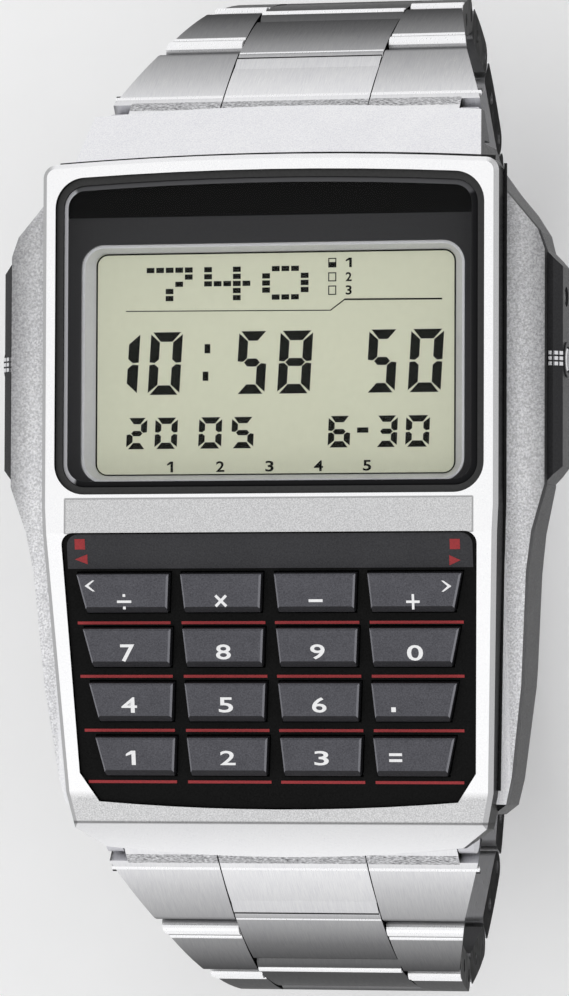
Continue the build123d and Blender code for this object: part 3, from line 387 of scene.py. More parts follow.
centre_painted_shade = shade_curve(
    (-34, 0.5), (-20, 0.4), (-15.5, 0.22), (-7.6, 0.2), (-7.5, 0.12), (-4, 0.27), (-0.7, 0.56), (-0.6, 0.74),
    (4, 1),
)
outer_painted_shade = shade_curve(
    (-34, 0.5), (-20, 0.4), (-16, 0.2), (-9, 0.28), (-8.9, 0.1), (-2.4, 0.46), (-2.3, 0.34), (1.5, 0.66),
    (4, 0.96),
)

# %% Painted shade of the links and the clasp
on_outer = spread(link_steel, size_of(link_steel, coordinate(link_steel, "X")), 4.99 * MM, 5.01 * MM)
link_painted_shade = add_node(link_steel, "RGBToBW")
join(link_steel, mix_colours(link_steel, on_outer, centre_painted_shade, outer_painted_shade), link_painted_shade.inputs["Color"])
dim(link_steel, link_painted_shade.outputs["Val"])
# Painted shade on the sides of the links.
shade_ends(link_steel, 0.5, 0.8, 0.12)
dress(link_steel, *[f"{half}_link_{number}" for half in ("upper", "lower") for number in range(1, 7)])
clasp_steel = surface(
    "clasp_steel", (0.68, 0.68, 0.7), (0.48, 0.48, 0.5), (0.3, 0.44), (0.06, 2.0, 2.0), 0.005, metallic=1.0
)
# Painted shade on the clasp's faces that point left or right.
shade_ends(clasp_steel, 0.5, 0.8, 0.3)
dress(clasp_steel, "clasp_cover", "clasp_outer_leaf", "clasp_inner_leaf")

# %% Steel of the rolls
bright_steel = surface(
    "bright_steel", (1.0, 1.0, 1.0), (0.9, 0.9, 0.92), (0.25, 0.35), (0.05, 0.3, 0.3), 0.003, metallic=0.7
)
rough_steel = surface(
    "rough_steel", (0.9, 0.9, 0.92), (0.03, 0.03, 0.035), (0.3, 0.45), (0.22, 0.06, 0.06), 0.01,
    metallic=0.9, uneven=0.05
)
print("the rolls have", bright_steel.name, "and", rough_steel.name)

# %% Steel, brass and the buttons' silver
plain_steel = surface(
    "steel", (0.7, 0.7, 0.71), (0.5, 0.5, 0.52), (0.25, 0.4), (1.5, 0.05, 0.05), 0.004, metallic=1.0
)
dress(plain_steel, "case_back", "case_back_screws", "spring_bars")
battery_steel = surface(
    "battery_steel", (0.75, 0.75, 0.74), (0.6, 0.6, 0.6), (0.2, 0.32), 0.3, 0.002, metallic=1.0
)
dress(battery_steel, "battery", "battery_clip")
brass = surface("brass", (0.8, 0.62, 0.3), (0.62, 0.45, 0.2), (0.25, 0.4), 0.2, 0.003, metallic=1.0)
dress(brass, "buzzer_disc")
button_silver = surface(
    "button_silver", (0.88, 0.88, 0.89), (0.6, 0.6, 0.62), (0.2, 0.35), 0.06, 0.004, metallic=1.0
)
# Painted shade on the pushers' faces that point left or right.
shade_ends(button_silver, 0.7, 0.9, 0.3)
dress(button_silver, "mode_button", "format_button", "adjust_button", "light_button")

# %% [markdown]
# ## Resin, rubber and print
# The middle case and the guards are black resin with a fine spark-eroded grain. The keys are dark grey
# with a grain that can be felt, and the keypad's plate and the display's border are matt print.

# %% Resin of the guards
resin_look = ((0.022, 0.022, 0.024), (0.01, 0.01, 0.011), (0.34, 0.5), 0.12, 0.006)
resin = surface("black_resin", *resin_look, Specular_IOR_Level=0.2)
dress(resin, "side_guard_left", "side_guard_right")

# %% [markdown]
# The middle case is the same black resin, but the ends of its lugs are plated to go with the bracelet.
# One material does both: how far a point lies from the case's middle chooses resin or metal.

# %% Middle case with plated lug ends
case_resin = surface("case_resin", *resin_look, Specular_IOR_Level=0.2)
plated = spread(case_resin, size_of(case_resin, coordinate(case_resin, "Y")), 22.3 * MM, 22.4 * MM)
repaint(case_resin, plated, (0.62, 0.62, 0.65))
join(case_resin, plated, shader_of(case_resin).inputs["Metallic"])
dress(case_resin, "case_body")

# %% Rubber
rubber = surface("black_rubber", (0.012, 0.012, 0.012), (0.006, 0.006, 0.006), (0.4, 0.6), 0.2, 0.003)
dress(rubber, "crystal_gasket", "case_back_gasket", "button_seals")
grey_rubber = surface("grey_rubber", (0.3, 0.3, 0.32), (0.2, 0.2, 0.22), (0.5, 0.7), 0.2, 0.006)
dress(grey_rubber, "lcd_connectors", "keypad_membrane")

# %% [markdown]
# The keys are lit from 12 o'clock, so their lower bevels and upright sides are painted dark, as painted
# shade, and the left and right rims of their tops are painted lighter, as a painted highlight. The
# direction that a face points in tells them apart.

# %% Keys and the keypad's plate
key_grey = surface(
    "key_grey", (0.105, 0.105, 0.12), (0.04, 0.04, 0.048), (0.42, 0.6), 0.09, 0.014, patches=1.2,
    Specular_IOR_Level=0.25
)
# Painted shade on the lower bevels and upright sides, and a painted highlight on the rims of the tops.
lower_bevel_painted_shade = spread(key_grey, facing(key_grey, "Y"), -0.5, -0.35, 0.28, 1.0)
wall_painted_shade = spread(key_grey, facing(key_grey, "Z"), 0.3, 0.6, 0.2, 1.0)
dim(key_grey, product_of(key_grey, lower_bevel_painted_shade, wall_painted_shade))
side_rim = spread(key_grey, size_of(key_grey, facing(key_grey, "X")), 0.3, 0.5)
rim_painted_highlight = product_of(key_grey, side_rim, spread(key_grey, facing(key_grey, "Z"), 0.55, 0.65))
repaint(key_grey, rim_painted_highlight, (0.2, 0.2, 0.22))
dress(key_grey, *[f"key_{number}" for number in range(10)])
dress(key_grey, "key_divide", "key_multiply", "key_minus", "key_plus", "key_point", "key_equals")
plate_black = surface(
    "plate_black", (0.008, 0.008, 0.008), (0.002, 0.002, 0.002), (0.4, 0.55), 0.1, 0.004,
    Specular_IOR_Level=0.06
)
dress(plate_black, "keypad_plate")

# %% [markdown]
# The border under the crystal is printed black at its upper end and charcoal round the display. One
# material does both: the height on the page chooses the colour, with an edge as sharp as print.

# %% Printed border
mask_split = 16.98  # where black print meets charcoal, in millimetres
border = surface(
    "border_print", (0.32, 0.32, 0.335), (0.28, 0.28, 0.292), (0.45, 0.6), 0.15, 0.001,
    Specular_IOR_Level=0.05
)
upper = spread(border, coordinate(border, "Y"), (mask_split - 0.03) * MM, (mask_split + 0.03) * MM)
repaint(border, upper, (0.034, 0.034, 0.034))
dress(border, "display_mask")

# %% Display, light guide and the module
lcd_green = surface(
    "liquid_crystal", (0.735, 0.75, 0.575), (0.705, 0.72, 0.55), (0.5, 0.6), 0.5, 0.0005, patches=6.0
)
dress(lcd_green, "lcd_panel")
guide = surface("light_guide", (0.75, 0.8, 0.78), (0.66, 0.72, 0.7), (0.3, 0.4), 0.4, 0.001)
dress(guide, "backlight_panel")
module_plastic = surface("module_plastic", (0.16, 0.16, 0.17), (0.1, 0.1, 0.11), (0.45, 0.6), 0.2, 0.004)
dress(module_plastic, "module_frame")
board_green = surface(
    "circuit_board", (0.03, 0.2, 0.09), (0.015, 0.12, 0.05), (0.35, 0.5), (0.6, 0.15, 0.15), 0.004
)
dress(board_green, "circuit_board")
chip_black = surface("chip_black", (0.03, 0.03, 0.03), (0.015, 0.015, 0.015), (0.4, 0.6), 0.1, 0.004)
dress(chip_black, "board_components")

# %% [markdown]
# The crystal is clear resin glass with a coating against reflections, and its bevel is ground. Lamps have
# to reach the display through it, so for shadow rays it is swapped for a transparent shader; the eye
# still sees glass with its bevel and its reflections.

# %% Crystal
crystal = surface(
    "crystal", (1.0, 1.0, 1.0), (0.985, 0.99, 0.99), (0.0, 0.02), 3.0, 0.0001, Transmission_Weight=1.0,
    IOR=1.5, Specular_Tint=(0.12, 0.12, 0.12, 1)
)
flat_glass = spread(crystal, size_of(crystal, facing(crystal, "Z")), 0.9, 0.97)
join(crystal, flat_glass, shader_of(crystal).inputs["Transmission Weight"])
# Painted light on the ground bevel: faces that point left are painted light grey, faces that point to 12
# o'clock a darker grey, and the rest nearly black.
left_bevel_painted_light = spread(crystal, facing(crystal, "X"), -0.4, -0.3, 1.0, 0.0)
upper_bevel_painted_light = spread(crystal, facing(crystal, "Y"), 0.3, 0.4)
ground = mix_colours(crystal, upper_bevel_painted_light, (0.015, 0.015, 0.016), (0.1, 0.1, 0.105))
ground = mix_colours(crystal, left_bevel_painted_light, ground, (0.5, 0.5, 0.52))
recolour(crystal, mix_colours(crystal, flat_glass, ground, colour_of(crystal)))

# %% Clear for shadows
clear = add_node(crystal, "BsdfTransparent")
choice = add_node(crystal, "MixShader")
rays = add_node(crystal, "LightPath")
join(crystal, rays.outputs["Is Shadow Ray"], choice.inputs["Fac"])
join(crystal, shader_of(crystal).outputs["BSDF"], choice.inputs[1])
join(crystal, clear.outputs["BSDF"], choice.inputs[2])
join(crystal, choice.outputs["Shader"], crystal.node_tree.nodes["Material Output"].inputs["Surface"])
dress(crystal, "crystal")

# %% [markdown]
# ## Helpers for pieces
# Marks are thin solids, as thick as a coat of ink or a strip of film. An outline of a few corners
# becomes a face, and the face is extruded. Characters come from Blender's own font, made a mesh and
# stretched to the box that the real character fills.

# %% Piece helpers
weld = 0.0005 * MM


def finish_piece(name, mesh_work, material, body):
    """Makes an object of a bmesh, closed and facing outwards, that rides on a body."""
    bmesh.ops.remove_doubles(mesh_work, verts=mesh_work.verts, dist=weld)
    bmesh.ops.recalc_face_normals(mesh_work, faces=mesh_work.faces)
    open_edges = sum(1 for edge in mesh_work.edges if len(edge.link_faces) < 2)
    shared_edges = sum(1 for edge in mesh_work.edges if len(edge.link_faces) > 2)
    mesh = bpy.data.meshes.new(name)
    mesh_work.to_mesh(mesh)
    mesh_work.free()
    mesh.materials.append(material)
    made = bpy.data.objects.new(name, mesh)
    bpy.context.scene.collection.objects.link(made)
    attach(made, body)
    print(name, "faces", len(mesh.polygons), "open edges", open_edges, "touching edges", shared_edges)


def add_face(mesh_work, corners):
    """A face with its corners at places in millimetres."""
    return mesh_work.faces.new([mesh_work.verts.new([part * MM for part in corner]) for corner in corners])


def extrude_faces(mesh_work, faces):
    """Extrudes faces and gives the corners of their far side, which haven't moved yet."""
    raised = bmesh.ops.extrude_face_region(mesh_work, geom=faces)
    return [part for part in raised["geom"] if isinstance(part, bmesh.types.BMVert)]


def raise_outline(mesh_work, corners, low, high, place=Matrix.Identity(4)):
    """A flat outline in millimetres, raised from one height to another and set in its place."""
    face = add_face(mesh_work, [(x, y, low) for x, y in corners])
    ring = list(face.verts)
    tops = extrude_faces(mesh_work, [face])
    bmesh.ops.translate(mesh_work, verts=tops, vec=(0, 0, (high - low) * MM))
    bmesh.ops.transform(mesh_work, matrix=place, verts=ring + tops)


def band(mesh_work, outer, inner, height, thickness):
    """A closed band between two outlines that have as many corners."""
    pairs = []
    for places in zip(outer, inner):
        pairs.append([mesh_work.verts.new((x * MM, y * MM, height * MM)) for x, y in places])
    faces = []
    for (first, fourth), (second, third) in zip(pairs, pairs[1:] + pairs[:1]):
        faces.append(mesh_work.faces.new((first, second, third, fourth)))
    tops = extrude_faces(mesh_work, faces)
    bmesh.ops.translate(mesh_work, verts=tops, vec=(0, 0, thickness * MM))


def box_corners(left, right, bottom, top):
    """The corners of an upright rectangle."""
    return [(left, bottom), (right, bottom), (right, top), (left, top)]


def cross_corners(arm, thin):
    """The corners of an upright cross round zero: half its bars' length, and half their width."""
    corners = [(-arm, -thin), (-thin, -thin), (-thin, -arm), (thin, -arm), (thin, -thin), (arm, -thin)]
    return corners + [(-x, -y) for x, y in corners]


def raise_one(mesh_work, box, low, high, place=Matrix.Identity(4)):
    """The figure one: an upright bar with a flag, drawn to fill a box."""
    left, right, bottom, top = box
    stem = (right - left) * 0.42
    fall = (top - bottom) * 0.3
    corners = [
        (right - stem, bottom),
        (right, bottom),
        (right, top),
        (right - stem * 1.1, top),
        (left, top - fall * 0.75),
        (left, top - fall * 1.25),
        (right - stem, top - fall * 0.8),
    ]
    raise_outline(mesh_work, corners, low, high, place)


def raise_text(mesh_work, text, box, low, high, place=Matrix.Identity(4), bold=0.0):
    """Characters stretched to a box (left, right, bottom, top) in millimetres."""
    if text == "1":
        raise_one(mesh_work, box, low, high, place)
        return
    curve = bpy.data.curves.new("characters", "FONT")
    curve.body = text
    curve.resolution_u = 4
    curve.extrude = 0.5
    curve.offset = bold
    writer = bpy.data.objects.new("characters", curve)
    mesh = bpy.data.meshes.new_from_object(writer)
    corners = [vertex.co for vertex in mesh.vertices]
    least = Vector([min(corner[axis] for corner in corners) for axis in range(3)])
    most = Vector([max(corner[axis] for corner in corners) for axis in range(3)])
    goal_least = Vector((box[0], box[2], low)) * MM
    goal_most = Vector((box[1], box[3], high)) * MM
    factors = [(b - a) / (d - c) for a, b, c, d in zip(goal_least, goal_most, least, most)]
    mesh.transform(Matrix.Translation(-least))
    mesh.transform(Matrix.Diagonal((*factors, 1)))
    mesh.transform(place @ Matrix.Translation(goal_least))
    mesh_work.from_mesh(mesh)
    bpy.data.objects.remove(writer)
    bpy.data.curves.remove(curve)
    bpy.data.meshes.remove(mesh)


# %% [markdown]
# ## The characters of the display
# A liquid crystal display darkens thin cells between two sheets of glass. A digit has seven bars whose
# ends are cut to fit each other, and it leans a little. The upper row is built of dots.

# %% Ink
ink_black = surface(
    "display_ink", (0.01, 0.011, 0.009), (0.005, 0.006, 0.004), (0.5, 0.6), 0.2, 0.0005,
    Specular_IOR_Level=0.02
)
white_ink = surface("white_ink", (0.88, 0.88, 0.88), (0.76, 0.76, 0.77), (0.45, 0.6), 0.1, 0.002)
red_ink = surface("red_ink", (0.36, 0.012, 0.016), (0.22, 0.008, 0.012), (0.45, 0.6), 0.1, 0.002)
print("inks", ink_black.name, white_ink.name, red_ink.name)

# %% Seven-segment digits
film_low = 8.94  # top of the display panel
film_high = 8.952
SEGMENTS = {  # a top, b upper right, c lower right, d bottom, e lower left, f upper left, g middle
    "0": "abcdef",
    "1": "bc",
    "2": "abged",
    "3": "abgcd",
    "5": "afgcd",
    "6": "afgedc",
    "8": "abcdefg",
}


def digit_bars(width, height, bar, gap):
    """Outlines of the seven bars of a digit, upright, with its lower left corner at zero."""
    half = height / 2
    cut = gap / 2
    top = [
        (cut + gap, height),
        (width - cut - gap, height),
        (width - bar - cut, height - bar),
        (bar + cut, height - bar),
    ]
    side = [
        (width, height - cut - gap),
        (width, half + cut + gap / 2),
        (width - bar * 0.55, half + cut),
        (width - bar, half + bar * 0.45),
        (width - bar, height - bar - cut),
    ]
    middle = [
        (bar * 0.62 + cut, half),
        (bar + cut, half + bar * 0.42),
        (width - bar - cut, half + bar * 0.42),
        (width - bar * 0.62 - cut, half),
        (width - bar - cut, half - bar * 0.42),
        (bar + cut, half - bar * 0.42),
    ]
    side_below = [(x, height - y) for x, y in side]
    return {
        "a": top,
        "b": side,
        "c": side_below,
        "d": [(x, height - y) for x, y in top],
        "e": [(width - x, y) for x, y in side_below],
        "f": [(width - x, y) for x, y in side],
        "g": middle,
    }


display = bmesh.new()


def add_cell(corners):
    """One dark cell of the display, as thick as a film."""
    raise_outline(display, corners, film_low, film_high)


def write_digit(digit, box, bar, lean):
    """One digit in a box (left, right, bottom, top), with its bars leaning to the right."""
    left, right, bottom, top = box
    height = top - bottom
    outlines = digit_bars(right - left - lean, height, bar, 0.09)
    for name in SEGMENTS[digit]:
        add_cell([(left + x + lean * y / height, bottom + y) for x, y in outlines[name]])


# %% Large and small digits
large_sides = [(-8.54, -6.17), (-2.61, -0.45), (0.16, 2.57), (6.08, 8.23), (8.86, 11.27)]
small_sides = [(-9.98, -8.54), (-8.07, -6.48), (-5.12, -3.5), (-2.92, -1.35)]
small_sides += [(3.55, 5.09), (6.7, 8.22), (8.7, 10.35)]
for digits, sides, bottom, top, bar, lean in (
    ("05850", large_sides, 5.4, 9.5, 0.62, 0.24),
    ("1", [(-11.3, -9.04)], 5.4, 9.5, 0.72, 0.24),
    ("2005630", small_sides, 1.85, 3.9, 0.41, 0.08),
):
    for digit, (left, right) in zip(digits, sides):
        write_digit(digit, (left, right, bottom, top), bar, lean)
colon_and_dash = [(-4.71, -4.33, 8.09, 8.69), (-4.83, -4.45, 6.29, 6.89), (5.51, 6.26, 2.8, 3.14)]
for box in colon_and_dash:
    add_cell(box_corners(*box))
print("digits", len(display.faces), "faces")

# %% Characters of dots
DOTS = {
    "7": ["11111", "00001", "00010", "00100", "00100"],
    "4": ["10010", "10010", "11111", "00010", "00010"],
    "0": ["01110", "10001", "10001", "10001", "01110"],
}
dot_wide, dot_high = 0.52, 0.34
dot_step_x, dot_step_y = 0.645, 0.465
dot_top = 13.74
for start, character in zip((-8.64, -4.76, -0.86), "740"):
    for row, line in enumerate(DOTS[character]):
        for column in range(len(line)):
            if line[column] == "1":
                left = start + column * dot_step_x
                top = dot_top - row * dot_step_y
                add_cell(box_corners(left, left + dot_wide, top - dot_high, top))
print("with dots", len(display.faces), "faces")

# %% Boxes, the stepped line and the small numbers
line_wide = 0.065
box_left, box_right = 3.555, 4.09
for number, (top, bottom) in enumerate(((14.21, 13.59), (13.27, 12.68), (12.41, 11.8)), 1):
    outer = box_corners(box_left, box_right, bottom, top)
    inner = box_corners(box_left + line_wide, box_right - line_wide, bottom + line_wide, top - line_wide)
    band(display, outer, inner, film_low, film_high - film_low)
    raise_text(display, str(number), (4.72, 5.12, bottom, top), film_low, film_high, bold=0.02)
add_cell(box_corners(3.62, 4.03, 13.64, 13.94))
step_line = [(-10.03, 10.88), (3.73, 10.77), (4.65, 11.445), (11.13, 11.4)]
upper_side = []
for (x0, y0), (x1, y1), thin in zip(step_line, step_line[1:], (0.06, 0.09, 0.11)):
    upper_side += [(x0, y0 + thin), (x1, y1 + thin)]
add_cell(step_line + upper_side[::-1])
label_sides = [(-7.2, -6.8), (-3.9, -3.35), (-0.6, -0.05), (2.65, 3.25), (5.9, 6.45)]
for number, (left, right) in enumerate(label_sides, 1):
    raise_text(display, str(number), (left, right, 0.32, 1.02), film_low, film_high, bold=0.02)
finish_piece("display_characters", display, ink_black, "case")

# %% [markdown]
# ## The marks of the keypad
# The keypad slopes down towards 6 o'clock, so its marks are drawn flat and then turned with it. One
# matrix does that: across is X, up the slope is Y, and Z stands square to the slope.

# %% The keypad's slope
slope = math.radians(10.7)
slope_start = Vector((0, -3.7, 11.5)) * MM
up_slope = Vector((0, math.cos(slope), math.sin(slope)))
off_slope = Vector((0, -math.sin(slope), math.cos(slope)))
on_slope = Matrix((Vector((1, 0, 0)), up_slope, off_slope)).transposed().to_4x4()
on_slope = Matrix.Translation(slope_start) @ on_slope
key_top = 0.45
plate_top = -0.25
mark_thick = 0.02
print("slope", round(math.degrees(slope), 1), "degrees")

# %% White numbers and signs on the keys
legends = {
    "key_7": ("7", (-10.03, -9.07, -8.44, -7.3)),
    "key_8": ("8", (-3.61, -2.62, -8.3, -7.31)),
    "key_9": ("9", (2.68, 3.64, -8.3, -7.31)),
    "key_0": ("0", (9.08, 10.14, -8.39, -7.37)),
    "key_4": ("4", (-10.11, -9.06, -11.82, -10.8)),
    "key_5": ("5", (-3.57, -2.61, -11.8, -10.8)),
    "key_6": ("6", (2.66, 3.62, -11.8, -10.8)),
    "key_1": ("1", (-9.95, -9.3, -15.29, -14.34)),
    "key_2": ("2", (-3.61, -2.59, -15.28, -14.33)),
    "key_3": ("3", (2.68, 3.64, -15.28, -14.33)),
}
for key, (text, box) in legends.items():
    number = bmesh.new()
    raise_text(number, text, box, key_top, key_top + mark_thick, on_slope, bold=0.012)
    finish_piece(key + "_number", number, white_ink, key)

# %% Signs drawn from bars
divide_bar = box_corners(-10.11, -9.15, -4.56, -4.4)
divide_dots = [box_corners(-9.72, -9.54, -4.16, -3.98), box_corners(-9.72, -9.54, -4.98, -4.8)]
plus = [(9.15, -4.62), (9.52, -4.62), (9.52, -5.04), (9.68, -5.04), (9.68, -4.62), (10.04, -4.62)]
plus += [(10.04, -4.46), (9.68, -4.46), (9.68, -4.04), (9.52, -4.04), (9.52, -4.46), (9.15, -4.46)]
times = Matrix.Translation(Vector((-3.145, -4.445, 0))) @ Matrix.Rotation(math.radians(45), 4, "Z")
signs = {
    "key_divide": [divide_bar, *divide_dots],
    "key_minus": [box_corners(2.7, 3.63, -4.54, -4.36)],
    "key_plus": [plus],
    "key_point": [box_corners(7.91, 8.21, -11.76, -11.45)],
    "key_equals": [box_corners(7.65, 8.51, -14.65, -14.47), box_corners(7.65, 8.51, -15.04, -14.86)],
    "key_multiply": [[(times @ Vector((*corner, 0)))[:2] for corner in cross_corners(0.5, 0.09)]],
}


def print_on_key(mesh_work, corners):
    """One mark of white ink on the keys' tops."""
    raise_outline(mesh_work, corners, key_top, key_top + mark_thick, on_slope)


for key, outlines in signs.items():
    sign = bmesh.new()
    for outline in outlines:
        print_on_key(sign, outline)
    finish_piece(key + "_sign", sign, white_ink, key)

# %% [markdown]
# The two outer keys of the upper row carry an arrow each. It is open: two thin strokes that meet in one
# outline.

# %% Arrows
arrow_half = 0.36
for key, tip, tail, middle in (("key_divide", -12.25, -11.72, -3.43), ("key_plus", 12.16, 11.64, -3.53)):
    arrow = bmesh.new()
    thick = 0.16 if tip > tail else -0.16
    above, below = middle + arrow_half, middle - arrow_half
    front = [(tail, below), (tip, middle), (tail, above)]
    back = [(tail - thick * 0.9, above), (tip - thick * 1.6, middle), (tail - thick * 0.9, below)]
    print_on_key(arrow, front + back)
    finish_piece(key + "_arrow", arrow, white_ink, key)

# %% [markdown]
# The keypad's plate carries a charcoal band above the keys, with a red square and a red triangle at each
# end, and a fine red line under every key.

# %% Header band
header_grey = surface(
    "header_grey", (0.052, 0.052, 0.056), (0.03, 0.03, 0.033), (0.45, 0.6), 0.1, 0.004,
    Specular_IOR_Level=0.1
)
header = bmesh.new()
header_high = plate_top + 0.06
raise_outline(header, box_corners(-13.5, 13.5, -2.4, -0.13), plate_top, header_high, on_slope)
upper_corners = []
for edge in header.edges:
    start, end = (on_slope.inverted() @ vertex.co / MM for vertex in edge.verts)
    if abs(end.z - start.z) > 0.01 and start.y > -1:
        upper_corners.append(edge)
bmesh.ops.bevel(
    header, geom=upper_corners, offset=0.75 * MM, segments=6, profile=0.5, affect="EDGES", material=-1
)
finish_piece("header_band", header, header_grey, "case")

# %% Red marks and red lines
marks = bmesh.new()
for shape in (
    box_corners(-12.97, -12.28, -1.12, -0.43),
    box_corners(12.01, 12.68, -1.22, -0.55),
    [(-13.0, -1.77), (-12.15, -2.1), (-12.15, -1.44)],
    [(12.68, -1.94), (11.95, -1.6), (11.95, -2.28)],
):
    raise_outline(marks, shape, header_high, header_high + mark_thick, on_slope)
finish_piece("red_marks", marks, red_ink, "case")
lines = bmesh.new()
columns = [(-13.0, -6.75), (-6.0, -0.4), (0.25, 5.85), (6.55, 12.75)]
for row, low in enumerate((-6.08, -9.62, -13.2, -16.62)):
    draw_in = 0.13 * row  # the plate narrows towards 6 o'clock
    for left, right in columns:
        ends = (max(left, -13.1 + draw_in), min(right, 12.8 - draw_in))
        raise_outline(lines, box_corners(*ends, low, low + 0.19), plate_top, plate_top + 0.04, on_slope)
finish_piece("red_lines", lines, red_ink, "case")

# %% [markdown]
# ## The rolled starts of the links
# Each outer piece of a link starts with two small rolls, side by side, that catch the light as bright
# bands. Every roll is a strip: its round section is drawn as a face, extruded across the piece, and its
# far end is moved to follow the taper of the link.

# %% Where the links are
first_point = (23.35, 3.98)
first_length, other_length = 7.2, 7.5
link_slopes = [50, 62, 78, 106, 134, 160]
link_half_widths = [12.45, 10.35, 8.7, 7.9, 7.5, 7.5, 7.5]
link_half_thickness = 1.1
piece_start = 1.25  # of the outer pieces, from the hinge
seam_x = 5.04  # inner sides of the outer pieces
places = [first_point]
for number, angle in enumerate(link_slopes):
    step = first_length if number == 0 else other_length
    y, z = places[-1]
    places.append((y + step * math.cos(math.radians(angle)), z - step * math.sin(math.radians(angle))))
print("last hinge", [round(part, 3) for part in places[-1]])


def link_place(number, half):
    """Turns a link's own frame (X across, Y along, Z outward) into the watch's, on either half."""
    y, z = places[number]
    angle = math.radians(link_slopes[number])
    along = Vector((0, math.cos(angle), -math.sin(angle)))
    outward = Vector((0, math.sin(angle), math.cos(angle)))
    matrix = Matrix((Vector((1, 0, 0)), along, outward)).transposed().to_4x4()
    matrix = Matrix.Translation(Vector((0, y, z)) * MM) @ matrix
    return matrix if half == "upper" else Matrix.Scale(-1, 4, Vector((0, 1, 0))) @ matrix


def link_width(number, along):
    """Half width of a link at a place along it."""
    wide, narrow = link_half_widths[number : number + 2]
    length = first_length if number == 0 else other_length
    share = (along - piece_start) / (length + link_half_thickness - piece_start)
    return wide + (narrow - wide) * share


# %% Sections and strips
# Black of the painted shadow lines on the links and round the bezel.
shadow_line_black = surface(
    "shadow_line_black", (0.02, 0.02, 0.021), (0.01, 0.01, 0.01), (0.5, 0.65), 0.1, 0.001, Specular_IOR_Level=0.1
)
centre_half = 4.94  # half width of what lies on the centre pieces


def roll_section(start, end, base, top, steps=6):
    """Section of a roll: corners along the link and outward from it, closed below."""
    low = base + (top - base) * 0.35
    corners = [(start, base)]
    for step in range(steps + 1):
        turn = math.pi * step / steps
        along = start + (end - start) * (0.5 - 0.5 * math.cos(turn))
        corners.append((along, low + (top - low) * math.sin(turn)))
    return corners + [(end, base)]


def add_strip(mesh_work, section, x_start, x_end, place):
    """A section extruded across a link, to an end that may depend on the place along it."""
    face = add_face(mesh_work, [(x_start, along, out) for along, out in section])
    ring = list(face.verts)
    tops = extrude_faces(mesh_work, [face])
    for vertex in tops:
        vertex.co.x = x_end(vertex.co.y / MM) * MM
    bmesh.ops.transform(mesh_work, matrix=place, verts=ring + tops)


def add_on_centre(mesh_work, section, place, half=centre_half):
    """A strip right across the centre piece."""
    add_strip(mesh_work, section, -half, lambda along: half, place)


def add_on_outers(mesh_work, section, inner, outer, place):
    """A strip on either outer piece, from inner to the half width that outer gives along the link."""
    for hand in (1, -1):
        add_strip(mesh_work, section, hand * inner, lambda along: hand * outer(along), place)


# %% [markdown]
# The link at the case has a rough roll between its lip and its bright roll, and a dark strip behind it
# and at the lip's tip, as a painted shadow line.
# The links further on have a wide and a thin bright roll on their outer pieces and one on the centre
# piece. The fourth link is the bracelet's widest place, so its centre roll stands lower.


# %% Trim of the links
def trim_first_link(name, strip, place):
    """Rolls, lip and painted shadow lines of a link at the case."""
    # The dark strips are painted shadow lines, behind the bright roll and at the lip's tip.
    rough, painted_shadow_strip, lip = bmesh.new(), bmesh.new(), bmesh.new()
    for mesh_work, section, half in (
        (rough, roll_section(0.5, 1.85, 0.8, 1.25), 11.2),
        (strip, roll_section(1.88, 2.3, 1.0, 1.28), 12.42),
        (painted_shadow_strip, [(2.28, 1.05), (2.28, 1.2), (2.42, 1.205), (2.42, 1.05)], 12.44),
    ):
        add_on_outers(mesh_work, section, seam_x, lambda along: half, place)
        add_on_centre(mesh_work, section, place)
    lip_part = [(-1.85, 0.95), (-1.85, 1.13), (-1.2, 1.17), (-0.5, 1.19), (-0.427, 1.14), (-0.427, 1.057)]
    lip_part += [(-0.654, 0.934), (-0.873, 0.733), (-1.016, 0.517), (-1.3, 0.5)]
    add_on_centre(lip, [(first_length + along, out) for along, out in lip_part], place)
    tip = [(-0.5, 1.15), (-0.5, 1.21), (-0.38, 1.2), (-0.38, 1.08)]
    add_on_centre(painted_shadow_strip, [(first_length + along, out) for along, out in tip], place, centre_half + 0.01)
    finish_piece(name + "_rough_roll", rough, rough_steel, name)
    finish_piece(name + "_lip", lip, link_steel, name)
    finish_piece(name + "_painted_shadow_line", painted_shadow_strip, shadow_line_black, name)


def trim_other_link(number, strip, place):
    """Rolls of a link further on."""
    for section in (roll_section(1.3, 2.35, 0.85, 1.36), roll_section(2.42, 2.9, 0.95, 1.28)):
        add_on_outers(strip, section, seam_x + 0.02, lambda along: link_width(number, along) - 0.02, place)
    if number == 1:
        centre_part = [(-0.02, 1.0), (-0.02, 1.13), (0.16, 1.145), (0.16, 1.0)]
    elif number == 3:
        centre_part = roll_section(-0.3, 0.3, 0.9, 1.07)
    else:
        centre_part = roll_section(-0.42, 0.3, 0.92, 1.23)
    add_on_centre(strip, centre_part, place)


# %% Rolls
for half in ("upper", "lower"):
    for number in range(6):
        name = f"{half}_link_{number + 1}"
        strip = bmesh.new()
        if number == 0:
            trim_first_link(name, strip, link_place(number, half))
        else:
            trim_other_link(number, strip, link_place(number, half))
        finish_piece(name + "_rolls", strip, bright_steel, name)

# %% [markdown]
# ## Painted shadow lines and fine lines round the case
# A dark strip runs round the foot of the bezel and along its top edge, as a painted shadow line, and the
# display's window has a thin dark line where the panel meets its silver frame. The line is a thin band
# between two outlines with as many corners.


# %% Sheets and rounded outlines
def thicken(mesh_work, thickness):
    """Gives a sheet of faces a thickness, upwards."""
    bmesh.ops.remove_doubles(mesh_work, verts=mesh_work.verts, dist=weld)
    tops = extrude_faces(mesh_work, list(mesh_work.faces))
    bmesh.ops.translate(mesh_work, verts=tops, vec=(0, 0, thickness * MM))


